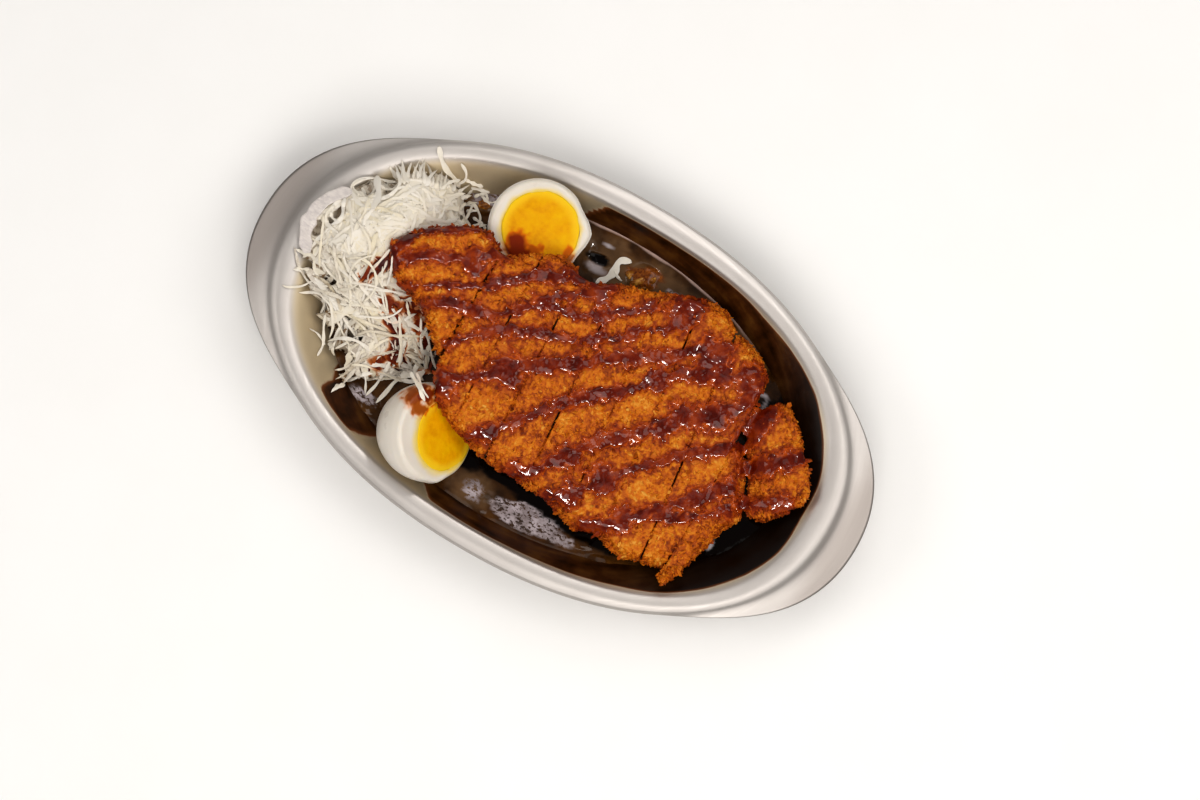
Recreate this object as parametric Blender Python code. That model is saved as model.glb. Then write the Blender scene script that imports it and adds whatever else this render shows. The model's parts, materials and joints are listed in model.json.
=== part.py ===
"""A chicken katsu plate: an oval steel curry dish that holds dark curry, a breaded cutlet cut into
strips, a heap of shredded cabbage and one boiled egg cut across into two halves.

Lengths in the constants are millimetres, and meshes are built in metres. X runs along the dish, Y
across it and Z up, with the origin on the table under the middle of the dish.
"""

import math

import bmesh
import bpy
import numpy as np
from mathutils import Matrix, Vector

MM = 0.001

# The dish: half length, half width, squareness and height of the rings that shape its inner face,
# from floor to rim.
DISH_RINGS = (
    (42.0, 24.0, 2.0, 1.0),
    (84.0, 48.0, 2.0, 1.0),
    (92.5, 55.0, 2.0, 3.2),
    (101.5, 62.6, 2.03, 10.5),
    (108.5, 68.0, 2.06, 20.0),
    (118.0, 73.4, 2.2, 29.0),
    (122.5, 75.6, 2.3, 32.4),
    (125.5, 77.2, 2.3, 33.6),
    (129.5, 80.8, 2.25, 34.0),
    (133.0, 84.2, 2.17, 33.2),
)
DISH_SEGMENTS = 56
SHEET = 1.0
# The lip outside the last ring: share of its width, extra width all round, drop at the long sides
# and at the ends.
LIP_RINGS = (
    (0.20, 0.5, 0.5, 2.2),
    (0.55, 0.9, 1.0, 3.6),
    (1.00, 1.3, 1.5, 4.2),
)
LIP_WIDTH = 13.7
LIP_START = 0.62
LIP_POWER = 2.1

# The curry: its surface height, and the mound that carries the cutlet.
CURRY_LEVEL = 20.0
CURRY_SEGMENTS = 44
CURRY_TOP_SHARES = (0.16, 0.32, 0.46, 0.58, 0.69, 0.79, 0.89, 1.0)
MOUND_CLEARANCE = 0.45
MOUND_SHOULDER = (4.0, 13.0)
MOUND_LEFT_END = (-44.0, -32.0)
WALL_GAP = 0.5

# The cutlet: how high its underside lies along X, its thickness and how its margins round off.
CUTLET_BASE = (
    (-90.0, 43.0), (-45.0, 39.5), (-25.0, 36.0), (0.0, 30.0), (40.0, 22.0), (70.0, 20.7), (125.0, 20.7),
)
END_PIECE_BASE = ((80.0, 20.4), (95.0, 20.8), (120.0, 27.6))
WALL_SUPPORT = 0.9
CUTLET_THICKNESS = 13.5
MARGIN_TOP = 7.0
MARGIN_BOTTOM = 4.6
MARGIN_TOP_WIDTH = 9.0
MARGIN_BOTTOM_WIDTH = 6.5
MARGIN_SPOT_STEP = 0.5
SURFACE_WAVE = 0.45
WAVE_ALONG = 0.31
WAVE_ACROSS = 0.17
WAVE_BEND = 1.3
CUT_REACH = 50.0
LINE_END_STEPS = 12
# The cuts: X at the far reach, X at the near reach, bow, gap at the far reach and at the near reach.
CUTS = (
    (-46.3, -47.2, 0.0, 0.4, 2.6),
    (-31.5, -28.0, 0.4, 0.5, 0.6),
    (-13.3, -8.8, 0.0, 0.5, 1.3),
    (3.0, 11.2, 0.3, 0.5, 0.9),
    (21.0, 33.0, 0.3, 0.5, 0.6),
    (38.8, 50.0, 0.0, 0.6, 0.6),
    (57.4, 70.0, 0.4, 0.7, 0.6),
    (78.2, 80.2, 1.6, 0.5, 0.6),
)
FAR_MARGIN = (
    (-89.0, 13.0), (-82.0, 22.5), (-70.0, 31.5), (-56.0, 37.5), (-46.5, 31.5), (-36.0, 38.0),
    (-21.0, 44.5), (-12.5, 40.5), (2.0, 46.5), (18.0, 52.0), (34.0, 59.5), (47.0, 61.0),
    (58.0, 54.5), (70.0, 52.0), (80.0, 43.0),
)
NEAR_MARGIN = (
    (-89.0, 9.5), (-84.0, 3.0), (-75.0, -3.5), (-66.0, -3.5), (-57.0, -12.0), (-48.0, -19.0),
    (-46.0, -27.0), (-36.0, -38.0), (-24.0, -43.5), (-9.0, -47.5), (10.0, -48.5), (29.0, -50.5),
    (38.0, -54.0), (49.0, -50.5), (61.0, -54.0), (71.0, -51.0), (81.0, -48.5),
)
HEEL_FAR_MARGIN = ((79.0, 16.0), (84.0, 12.5), (89.0, 6.0), (93.0, -1.0), (96.0, -8.0), (98.0, -14.0))
HEEL_NEAR_MARGIN = (
    (79.0, -49.5), (82.0, -56.0), (86.0, -50.0), (89.0, -41.0), (91.5, -31.0), (94.0, -22.0),
    (98.0, -15.5),
)
END_FAR_MARGIN = (
    (80.8, 26.0), (84.0, 34.0), (90.5, 38.5), (98.0, 35.0), (106.0, 26.0), (114.5, 17.0), (118.5, 9.0),
)
END_NEAR_MARGIN = (
    (80.8, 22.5), (84.5, 16.5), (89.5, 10.0), (95.0, 1.0), (98.5, -8.0), (102.0, -12.8), (108.5, -8.5),
    (115.0, -0.5), (118.5, 6.0),
)
STRIP_LIFTS = (0.0, 0.4, 0.0, 0.6, 0.1, 0.5, 0.2, 0.5, 0.0)
RAISED_STRIPS = 3
STRIP_COLUMNS = (0.0, 0.33, 0.67, 1.0)
TAPERED_COLUMNS = (0.0, 0.05, 0.14, 0.28, 0.45, 0.63, 0.82, 1.0)
BOTH_TAPERED_COLUMNS = (0.0, 0.05, 0.15, 0.3, 0.5, 0.7, 0.85, 0.95, 1.0)
STRIP_STATIONS = (0.0, 0.03, 0.08, 0.17, 0.32, 0.5, 0.68, 0.83, 0.92, 0.97, 1.0)

# The egg halves: middle of the cut face, how far it leans and which way, its radius, the widest
# radius a waist behind the face, the depth of the half, and the yolk.
EGG_HALVES = (
    {
        "name": "far",
        "middle": (-39.9, 50.0, 38.4),
        "lean": 10.0,
        "azimuth": -60.0,
        "face_radius": 21.3,
        "radius": 21.6,
        "waist": 1.5,
        "depth": 20.5,
        "yolk_radius": 16.3,
        "yolk_depth": 14.0,
        "yolk_shift": (0.5, 1.3),
    },
    {
        "name": "near",
        "middle": (-31.8, -48.4, 43.4),
        "lean": 44.0,
        "azimuth": 18.0,
        "face_radius": 21.0,
        "radius": 21.6,
        "waist": 4.0,
        "depth": 30.0,
        "yolk_radius": 14.6,
        "yolk_depth": 14.0,
        "yolk_shift": (4.4, 0.0),
    },
)
EGG_SEGMENTS = 28
WHITE_RINGS = 5
YOLK_RINGS = 5
YOLK_CROWN = 0.4
YOLK_CROWN_SHARE = 0.55
YOLK_GAP = 0.35

# The cabbage heap: its middle, how far it reaches at equal steps round it, and the shape of its crest.
HEAP_MIDDLE = (-92.0, 0.0)
HEAP_REACH = (
    41.0, 42.0, 43.0, 51.0, 57.0, 45.0, 41.0, 40.0, 37.0, 36.0, 34.0, 40.0, 46.0, 53.0, 46.0, 44.0,
)
HEAP_SEGMENTS = 44
HEAP_TOP_SHARES = (0.2, 0.4, 0.58, 0.74, 0.87, 0.96)
HEAP_UNDERCUT_SHARE = 0.97
HEAP_BOTTOM_SHARES = (0.9, 0.78, 0.5)
# Waves round the outline: how many, their size as a share of the reach, and their phase.
HEAP_FLUTES = ((9, 0.035, 0.6), (14, 0.02, 2.0))
HEAP_LOW_CREST = 41.0
HEAP_PEAK = (-103.0, 23.0)
HEAP_PEAK_RISE = 13.0
HEAP_PEAK_SPREAD = 22.0
HEAP_FALL_POWER = 2.6
HEAP_WAVE = 1.1
HEAP_WAVE_ALONG = 0.35
HEAP_WAVE_ACROSS = 0.29
HEAP_WAVE_PHASE = 0.8
HEAP_EDGE = 2.2
HEAP_CLEARANCE = 0.9

CUT_CLEARANCE = 0.6
SMOOTH_ANGLE = math.radians(38.0)
TINY = 1e-9

# Each material's colour, roughness and metallic value.
MATERIALS = {
    "steel": ((0.62, 0.60, 0.58), 0.32, 1.0),
    "curry": ((0.045, 0.022, 0.010), 0.18, 0.0),
    "crust": ((0.48, 0.17, 0.035), 0.7, 0.0),
    "white": ((0.83, 0.80, 0.72), 0.35, 0.0),
    "yolk": ((0.90, 0.50, 0.03), 0.5, 0.0),
    "cabbage": ((0.80, 0.78, 0.60), 0.5, 0.0),
}


# ---------------------------------------------------------------- helpers


def clear_scene():
    """Remove everything that the file already holds."""
    for thing in list(bpy.data.objects):
        bpy.data.objects.remove(thing, do_unlink=True)


def smooth_step(value, low, high):
    """Rise from 0 to 1 between two values."""
    share = np.clip((value - low) / (high - low), 0.0, 1.0)
    return share * share * (3.0 - 2.0 * share)


def smooth_curve(points):
    """Return y(x) for a smooth curve through points in order of x."""
    xs = np.array([point[0] for point in points])
    ys = np.array([point[1] for point in points])
    slopes = np.gradient(ys, xs)

    def curve(x):
        x = np.clip(x, xs[0], xs[-1])
        i = np.clip(np.searchsorted(xs, x) - 1, 0, len(xs) - 2)
        span = xs[i + 1] - xs[i]
        s = (x - xs[i]) / span
        start = ys[i] * (1 + 2 * s) * (1 - s) ** 2 + slopes[i] * span * s * (1 - s) ** 2
        end = ys[i + 1] * s * s * (3 - 2 * s) + slopes[i + 1] * span * s * s * (s - 1)
        return start + end

    return curve


def material_for(name, kind):
    """Make the node's own Principled material from its kind."""
    color, roughness, metallic = MATERIALS[kind]
    material = bpy.data.materials.new(name + "_" + kind)
    material.use_nodes = True
    shader = material.node_tree.nodes["Principled BSDF"]
    shader.inputs["Base Color"].default_value = (*color, 1.0)
    shader.inputs["Roughness"].default_value = roughness
    shader.inputs["Metallic"].default_value = metallic
    material.diffuse_color = (*color, 1.0)
    return material


def add_object(name, vertices, faces, kind):
    """Make an object from vertices in millimetres, with its faces turned outwards."""
    mesh = bpy.data.meshes.new(name)
    mesh.from_pydata([tuple(MM * value for value in vertex) for vertex in vertices], [], faces)
    body = bmesh.new()
    body.from_mesh(mesh)
    bmesh.ops.recalc_face_normals(body, faces=body.faces)
    body.to_mesh(mesh)
    body.free()
    mesh.shade_smooth()
    mesh.set_sharp_from_angle(angle=SMOOTH_ANGLE)
    made = bpy.data.objects.new(name, mesh)
    made.data.materials.append(material_for(name, kind))
    bpy.context.scene.collection.objects.link(made)
    return made


def ring_faces(first, second, count):
    """Join two rings of vertices, given by their first indices, with quads."""
    return [
        (first + i, first + (i + 1) % count, second + (i + 1) % count, second + i)
        for i in range(count)
    ]


def fan_faces(middle, ring, count):
    """Join a ring of vertices to a middle one."""
    return [(middle, ring + i, ring + (i + 1) % count) for i in range(count)]


def cut_round(target, tool):
    """Cut a slightly grown copy of one object out of another."""
    cutter_mesh = tool.data.copy()
    cutter = bpy.data.objects.new(target.name + "_cutter_" + tool.name, cutter_mesh)
    cutter.location = tool.location
    cutter.rotation_euler = tool.rotation_euler
    body = bmesh.new()
    body.from_mesh(cutter_mesh)
    body.normal_update()
    moves = [vertex.normal * (CUT_CLEARANCE * MM) for vertex in body.verts]
    for vertex, move in zip(body.verts, moves):
        vertex.co += move
    body.to_mesh(cutter_mesh)
    body.free()
    cutter.hide_render = True
    cutter.display_type = "WIRE"
    bpy.context.scene.collection.objects.link(cutter)
    cut = target.modifiers.new("cut_round_" + tool.name, "BOOLEAN")
    cut.operation = "DIFFERENCE"
    cut.object = cutter


# ---------------------------------------------------------------- dish


def oval_point(half_length, half_width, squareness, turn):
    """A point of a rounded oval at a turn from +X, in radians."""
    power = 2.0 / squareness
    x = half_length * math.copysign(abs(math.cos(turn)) ** power, math.cos(turn))
    y = half_width * math.copysign(abs(math.sin(turn)) ** power, math.sin(turn))
    return x, y


def lip_width(turn):
    """Width of the lip outside the rim at a turn from +X."""
    share = max(0.0, (abs(math.cos(turn)) - LIP_START) / (1.0 - LIP_START))
    return LIP_WIDTH * share ** LIP_POWER


def dish_rings():
    """All rings of the dish's inner face, from floor to lip edge, as lists of points."""
    turns = [2.0 * math.pi * i / DISH_SEGMENTS for i in range(DISH_SEGMENTS)]
    rings = []
    for half_length, half_width, squareness, height in DISH_RINGS:
        rings.append([(*oval_point(half_length, half_width, squareness, turn), height) for turn in turns])
    half_length, half_width, squareness, height = DISH_RINGS[-1]
    for share, extra, side_drop, end_drop in LIP_RINGS:
        ring = []
        for turn in turns:
            x, y = oval_point(half_length, half_width, squareness, turn)
            outward = Vector((x / half_length ** 2, y / half_width ** 2)).normalized()
            width = lip_width(turn)
            reach = extra + share * width
            drop = side_drop + (end_drop - side_drop) * width / LIP_WIDTH
            ring.append((x + outward.x * reach, y + outward.y * reach, height - drop))
        rings.append(ring)
    return rings


def make_dish():
    """The dish: one sheet from the middle of the floor to the lip, thickened downwards."""
    rings = dish_rings()
    vertices = [(0.0, 0.0, DISH_RINGS[0][3])]
    for ring in rings:
        vertices.extend(ring)
    faces = fan_faces(0, 1, DISH_SEGMENTS)
    for i in range(len(rings) - 1):
        first = 1 + i * DISH_SEGMENTS
        faces.extend(ring_faces(first, first + DISH_SEGMENTS, DISH_SEGMENTS))
    dish = add_object("dish", vertices, faces, "steel")
    if dish.data.polygons[0].normal.z < 0.0:
        dish.data.flip_normals()
    sheet = dish.modifiers.new("sheet", "SOLIDIFY")
    sheet.thickness = SHEET * MM
    sheet.offset = -1.0
    sheet.use_even_offset = True
    return dish


def dish_height(x, y):
    """Height of the dish's inner face over a point, by its share of the way out through the rings."""
    x = np.asarray(x, float)
    y = np.asarray(y, float)
    shares = [
        (np.abs(x) / ring[0]) ** ring[2] + (np.abs(y) / ring[1]) ** ring[2]
        for ring in DISH_RINGS
    ]
    shares = np.array([share ** (1.0 / ring[2]) for share, ring in zip(shares, DISH_RINGS)])
    height = np.full(x.shape, DISH_RINGS[0][3])
    for i in range(len(DISH_RINGS) - 1):
        low, high = DISH_RINGS[i][3], DISH_RINGS[i + 1][3]
        past = shares[i] - 1.0
        left = 1.0 - shares[i + 1]
        between = np.clip(past / np.maximum(past + left, TINY), 0.0, 1.0)
        height = np.where(shares[i] >= 1.0, low + (high - low) * between, height)
    return height


# ---------------------------------------------------------------- cutlet


def underside(base, x, y):
    """Height of a cutlet piece's underside: its own line along X, or the dish's wall where that is higher."""
    line = np.interp(x, [point[0] for point in base], [point[1] for point in base])
    return max(float(line), float(dish_height(x, y)) + WALL_SUPPORT)


def cut_x(cut, y, side):
    """X of a cut's face at a Y, on the side -1 or +1 of its gap."""
    far_x, near_x, bow, far_gap, near_gap = cut
    share = y / CUT_REACH
    middle = (far_x + near_x) / 2.0 + share * (far_x - near_x) / 2.0 + bow * (1.0 - share * share)
    gap = (far_gap + near_gap) / 2.0 + share * (far_gap - near_gap) / 2.0
    return middle + side * gap / 2.0


def margin_points(*margins):
    """Close points along smooth margins, for measuring distances to them."""
    spots = []
    for margin in margins:
        curve = smooth_curve(margin)
        xs = np.arange(margin[0][0], margin[-1][0], MARGIN_SPOT_STEP)
        spots.append(np.stack([xs, curve(xs)], axis=1))
        spots.append(np.array([margin[0], margin[-1]]))
    return np.concatenate(spots)


def distance_to(spots, x, y):
    """Shortest distance from a point to the margin."""
    return float(np.min(np.hypot(spots[:, 0] - x, spots[:, 1] - y)))


def rounding(distance, width):
    """Share of the full height reached at a distance in from a rounded margin."""
    share = min(distance / width, 1.0)
    return math.sqrt(max(0.0, 1.0 - (1.0 - share) ** 2))


def line_end(left, right, share, margin):
    """Where a line at a share between two cut faces meets a margin."""
    y = float(margin(left(0.0)))
    for _ in range(LINE_END_STEPS):
        x = (1.0 - share) * left(y) + share * right(y)
        y = float(margin(x))
    return y


def make_slab(name, margins, left, right, columns, base_line, lift):
    """One piece of the cutlet between two side lines and its far and near margins."""
    far, near = smooth_curve(margins[0]), smooth_curve(margins[1])
    spots = margin_points(*margins)
    tops, bottoms = [], []
    for share in columns:
        far_y = line_end(left, right, share, far)
        near_y = line_end(left, right, share, near)
        for station in STRIP_STATIONS:
            y = near_y + (far_y - near_y) * station
            x = (1.0 - share) * left(y) + share * right(y)
            distance = distance_to(spots, x, y)
            base = underside(base_line, x, y) + lift
            wave = SURFACE_WAVE * math.sin(WAVE_ALONG * x + WAVE_BEND * math.sin(WAVE_ACROSS * y))
            rise = (CUTLET_THICKNESS - MARGIN_TOP + wave) * rounding(distance, MARGIN_TOP_WIDTH)
            tops.append((x, y, base + MARGIN_TOP + rise))
            sink = MARGIN_BOTTOM * rounding(distance, MARGIN_BOTTOM_WIDTH)
            bottoms.append((x, y, base + MARGIN_BOTTOM - sink))
    rows, steps = len(columns), len(STRIP_STATIONS)
    offset = rows * steps
    faces = []
    for i in range(rows - 1):
        for j in range(steps - 1):
            a, b = i * steps + j, (i + 1) * steps + j
            faces.append((a, b, b + 1, a + 1))
            faces.append((offset + a, offset + a + 1, offset + b + 1, offset + b))
        for j in (0, steps - 1):
            a, b = i * steps + j, (i + 1) * steps + j
            faces.append((a, b, offset + b, offset + a))
    for i in (0, rows - 1):
        for j in range(steps - 1):
            a = i * steps + j
            faces.append((a, a + 1, offset + a + 1, offset + a))
    return add_object(name, tops + bottoms, faces, "crust")


def straight_side(x):
    """A side line at one X."""
    return lambda y: x


def cut_side(cut, side):
    """A side line along one face of a cut."""
    return lambda y: cut_x(cut, y, side)


def make_strip(i):
    """Strip i of the cut cutlet, from 0 at the left, between its two cuts or at a rounded end."""
    last = len(CUTS)
    margins = (FAR_MARGIN, NEAR_MARGIN)
    columns = STRIP_COLUMNS
    left = straight_side(FAR_MARGIN[0][0])
    right = straight_side(HEEL_FAR_MARGIN[-1][0])
    if i == 0:
        columns = TAPERED_COLUMNS
    else:
        left = cut_side(CUTS[i - 1], 1.0)
    if i == last:
        margins = (HEEL_FAR_MARGIN, HEEL_NEAR_MARGIN)
        columns = tuple(1.0 - share for share in reversed(TAPERED_COLUMNS))
    else:
        right = cut_side(CUTS[i], -1.0)
    name = f"cutlet_strip_{i + 1}"
    return make_slab(name, margins, left, right, columns, CUTLET_BASE, STRIP_LIFTS[i])


def make_end_piece():
    """The small rounded end of the cutlet, which lies apart from the strips."""
    return make_slab(
        "cutlet_end_piece",
        (END_FAR_MARGIN, END_NEAR_MARGIN),
        straight_side(END_FAR_MARGIN[0][0]),
        straight_side(END_FAR_MARGIN[-1][0]),
        BOTH_TAPERED_COLUMNS,
        END_PIECE_BASE,
        0.0,
    )


# ---------------------------------------------------------------- curry


def curry_height(x, y, spots):
    """Height of the curry's surface: level, with the mound under the cutlet."""
    far, near = smooth_curve(FAR_MARGIN), smooth_curve(NEAR_MARGIN)
    if not near(x) < y < far(x) or x > CUTS[-1][0]:
        return CURRY_LEVEL
    inside = smooth_step(distance_to(spots, x, y), *MOUND_SHOULDER) * smooth_step(x, *MOUND_LEFT_END)
    mound = max(0.0, underside(CUTLET_BASE, x, y) - MOUND_CLEARANCE - CURRY_LEVEL)
    return CURRY_LEVEL + mound * float(inside)


def make_curry():
    """The curry: fills the dish up to its level, a hair inside the wall."""
    spots = margin_points(FAR_MARGIN, NEAR_MARGIN)
    turns = [2.0 * math.pi * i / CURRY_SEGMENTS for i in range(CURRY_SEGMENTS)]
    wall = [ring for ring in DISH_RINGS if ring[3] <= CURRY_LEVEL][1:]
    vertices = [(0.0, 0.0, curry_height(0.0, 0.0, spots))]
    surface_length, surface_width = wall[-1][0] - WALL_GAP, wall[-1][1] - WALL_GAP
    for share in CURRY_TOP_SHARES:
        for turn in turns:
            x, y = oval_point(surface_length * share, surface_width * share, wall[-1][2], turn)
            vertices.append((x, y, curry_height(x, y, spots)))
    for half_length, half_width, squareness, height in reversed(wall[:-1]):
        lifted = height + WALL_GAP
        for turn in turns:
            x, y = oval_point(half_length - WALL_GAP, half_width - WALL_GAP, squareness, turn)
            vertices.append((x, y, lifted))
    vertices.append((0.0, 0.0, DISH_RINGS[0][3] + WALL_GAP))
    ring_count = len(CURRY_TOP_SHARES) + len(wall) - 1
    faces = fan_faces(0, 1, CURRY_SEGMENTS)
    for i in range(ring_count - 1):
        first = 1 + i * CURRY_SEGMENTS
        faces.extend(ring_faces(first, first + CURRY_SEGMENTS, CURRY_SEGMENTS))
    faces.extend(fan_faces(len(vertices) - 1, 1 + (ring_count - 1) * CURRY_SEGMENTS, CURRY_SEGMENTS))
    return add_object("curry", vertices, faces, "curry")


# ---------------------------------------------------------------- egg


def turned_body(profile, middle_shift, segments):
    """Vertices and faces of a profile turned round its axis, closed at both ends on the axis."""
    vertices = [(middle_shift[0][0], middle_shift[0][1], profile[0][1])]
    for (radius, height), (shift_x, shift_y) in list(zip(profile, middle_shift))[1:-1]:
        for i in range(segments):
            turn = 2.0 * math.pi * i / segments
            vertices.append((shift_x + radius * math.cos(turn), shift_y + radius * math.sin(turn), height))
    vertices.append((middle_shift[-1][0], middle_shift[-1][1], profile[-1][1]))
    rings = len(profile) - 2
    faces = fan_faces(0, 1, segments)
    for i in range(rings - 1):
        faces.extend(ring_faces(1 + i * segments, 1 + (i + 1) * segments, segments))
    faces.extend(fan_faces(len(vertices) - 1, 1 + (rings - 1) * segments, segments))
    return vertices, faces


def round_profile(radius, depth, rings):
    """Profile of a round end from its lowest point up to its widest ring at height 0."""
    steps = [math.pi / 2.0 * (1.0 - i / rings) for i in range(rings + 1)]
    return [(radius * abs(math.cos(step)), -depth * math.sin(step)) for step in steps]


def white_outline(half):
    """Profile of the white's outside, from its lowest point up to the edge of the cut face."""
    waist = half["waist"]
    profile = [
        (radius, height - waist)
        for radius, height in round_profile(half["radius"], half["depth"] - waist, WHITE_RINGS)
    ]
    return profile + [(half["face_radius"], 0.0)]


def make_egg_half(half):
    """The white and the yolk of one half egg, set in place by the same turn."""
    shift = half["yolk_shift"]
    outer = white_outline(half)
    hollow = round_profile(half["yolk_radius"] + YOLK_GAP, half["yolk_depth"] + YOLK_GAP, YOLK_RINGS)
    white_profile = outer + list(reversed(hollow))
    white_shift = [(0.0, 0.0)] * len(outer) + [shift] * len(hollow)
    vertices, faces = turned_body(white_profile, white_shift, EGG_SEGMENTS)
    white = add_object(f"egg_white_{half['name']}", vertices, faces, "white")
    yolk_profile = round_profile(half["yolk_radius"], half["yolk_depth"], YOLK_RINGS)
    yolk_profile.append((half["yolk_radius"] * YOLK_CROWN_SHARE, YOLK_CROWN))
    yolk_profile.append((0.0, YOLK_CROWN))
    vertices, faces = turned_body(yolk_profile, [shift] * len(yolk_profile), EGG_SEGMENTS)
    yolk = add_object(f"egg_yolk_{half['name']}", vertices, faces, "yolk")
    spin = Matrix.Rotation(math.radians(half["azimuth"]), 4, "Z")
    tilt = Matrix.Rotation(math.radians(half["lean"]), 4, "Y")
    for piece in (white, yolk):
        piece.location = [MM * value for value in half["middle"]]
        piece.rotation_euler = (spin @ tilt).to_euler()
    return white, yolk


# ---------------------------------------------------------------- cabbage


def heap_reach(turn):
    """How far the heap reaches at a turn from +X."""
    count = len(HEAP_REACH)
    place = (turn / (2.0 * math.pi) * count) % count
    i = int(place)
    share = place - i
    before, start, end, after = (HEAP_REACH[(i + k) % count] for k in (-1, 0, 1, 2))
    slope_start, slope_end = (end - before) / 2.0, (after - start) / 2.0
    reach = (
        start * (1 + 2 * share) * (1 - share) ** 2
        + slope_start * share * (1 - share) ** 2
        + end * share * share * (3 - 2 * share)
        + slope_end * share * share * (share - 1)
    )
    flutes = sum(size * math.sin(number * turn + phase) for number, size, phase in HEAP_FLUTES)
    return reach * (1.0 + flutes)


def heap_floor(x, y):
    """Lowest height that the heap may have over a point: just above the curry and the dish."""
    return max(CURRY_LEVEL, float(dish_height(x, y))) + HEAP_CLEARANCE


def heap_crest(x, y):
    """Height of the heap's crest over a point, before it falls off to the edge."""
    away = math.hypot(x - HEAP_PEAK[0], y - HEAP_PEAK[1]) / HEAP_PEAK_SPREAD
    wave = math.sin(HEAP_WAVE_ALONG * x + HEAP_WAVE_PHASE) * math.sin(HEAP_WAVE_ACROSS * y)
    return HEAP_LOW_CREST + HEAP_PEAK_RISE * math.exp(-0.5 * away * away) + HEAP_WAVE * wave


def heap_top(x, y, share):
    """Height of the heap's surface at a share of the way out."""
    floor = heap_floor(x, y)
    crest = max(heap_crest(x, y), floor + HEAP_EDGE)
    return floor + HEAP_EDGE + (crest - floor - HEAP_EDGE) * (1.0 - share ** HEAP_FALL_POWER)


def make_heap():
    """The heap of shredded cabbage, lying on the curry and up over the dish's wall."""
    turns = [2.0 * math.pi * i / HEAP_SEGMENTS for i in range(HEAP_SEGMENTS)]
    middle_x, middle_y = HEAP_MIDDLE

    def ring(share, height_of):
        points = []
        for turn in turns:
            reach = share * heap_reach(turn)
            x, y = middle_x + reach * math.cos(turn), middle_y + reach * math.sin(turn)
            points.append((x, y, height_of(x, y)))
        return points

    vertices = [(middle_x, middle_y, heap_top(middle_x, middle_y, 0.0))]
    for share in HEAP_TOP_SHARES:
        vertices.extend(ring(share, lambda x, y: heap_top(x, y, share)))
    vertices.extend(ring(1.0, lambda x, y: heap_floor(x, y) + HEAP_EDGE / 2.0))
    vertices.extend(ring(HEAP_UNDERCUT_SHARE, heap_floor))
    for share in HEAP_BOTTOM_SHARES:
        vertices.extend(ring(share, heap_floor))
    vertices.append((middle_x, middle_y, heap_floor(middle_x, middle_y)))
    ring_count = len(HEAP_TOP_SHARES) + 2 + len(HEAP_BOTTOM_SHARES)
    faces = fan_faces(0, 1, HEAP_SEGMENTS)
    for i in range(ring_count - 1):
        first = 1 + i * HEAP_SEGMENTS
        faces.extend(ring_faces(first, first + HEAP_SEGMENTS, HEAP_SEGMENTS))
    faces.extend(fan_faces(len(vertices) - 1, 1 + (ring_count - 1) * HEAP_SEGMENTS, HEAP_SEGMENTS))
    return add_object("cabbage_heap", vertices, faces, "cabbage")


# ---------------------------------------------------------------- the plate


def main():
    clear_scene()
    make_dish()
    curry = make_curry()
    strips = [make_strip(i) for i in range(len(CUTS) + 1)]
    make_end_piece()
    heap = make_heap()
    cut_round(heap, strips[0])
    for half in EGG_HALVES:
        for piece in make_egg_half(half):
            cut_round(curry, piece)
            for strip in strips[:RAISED_STRIPS]:
                cut_round(strip, piece)


main()
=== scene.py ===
"""The looks of the chicken katsu plate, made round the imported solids.

Lengths in the constants and in the arrays of points are millimetres, and the meshes are in metres.
X runs along the dish, Y across it and Z up, as in the solids.
"""

import itertools
import json
import math

import bmesh
import bpy
import numpy as np
from mathutils import Matrix, Vector
from mathutils.bvhtree import BVHTree

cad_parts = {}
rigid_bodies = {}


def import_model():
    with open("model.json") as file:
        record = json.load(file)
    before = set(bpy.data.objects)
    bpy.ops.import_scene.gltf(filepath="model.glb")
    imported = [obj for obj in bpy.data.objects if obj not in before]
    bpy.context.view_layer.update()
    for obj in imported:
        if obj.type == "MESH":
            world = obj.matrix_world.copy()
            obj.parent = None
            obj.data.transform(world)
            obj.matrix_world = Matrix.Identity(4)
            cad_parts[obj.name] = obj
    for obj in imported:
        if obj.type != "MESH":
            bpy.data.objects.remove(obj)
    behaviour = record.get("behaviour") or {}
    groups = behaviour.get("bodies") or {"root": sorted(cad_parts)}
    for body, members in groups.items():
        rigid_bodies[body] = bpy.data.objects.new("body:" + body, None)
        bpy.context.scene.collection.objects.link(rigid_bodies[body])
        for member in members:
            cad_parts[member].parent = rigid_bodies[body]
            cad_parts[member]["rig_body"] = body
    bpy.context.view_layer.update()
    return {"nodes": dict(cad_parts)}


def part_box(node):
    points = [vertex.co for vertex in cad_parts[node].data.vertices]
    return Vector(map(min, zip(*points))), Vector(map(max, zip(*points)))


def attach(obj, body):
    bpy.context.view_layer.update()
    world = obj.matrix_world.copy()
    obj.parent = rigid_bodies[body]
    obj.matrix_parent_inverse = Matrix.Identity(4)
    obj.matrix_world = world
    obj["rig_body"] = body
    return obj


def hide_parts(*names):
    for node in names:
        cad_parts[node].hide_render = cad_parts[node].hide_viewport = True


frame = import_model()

MM = 0.001

# The dish: half length, half width, squareness and height of the rings that shape its inner face.
DISH_RINGS = (
    (42.0, 24.0, 2.0, 1.0),
    (84.0, 48.0, 2.0, 1.0),
    (92.5, 55.0, 2.0, 3.2),
    (101.5, 62.6, 2.03, 10.5),
    (108.5, 68.0, 2.06, 20.0),
    (118.0, 73.4, 2.2, 29.0),
    (122.5, 75.6, 2.3, 32.4),
    (125.5, 77.2, 2.3, 33.6),
    (129.5, 80.8, 2.25, 34.0),
    (133.0, 84.2, 2.17, 33.2),
)
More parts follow.
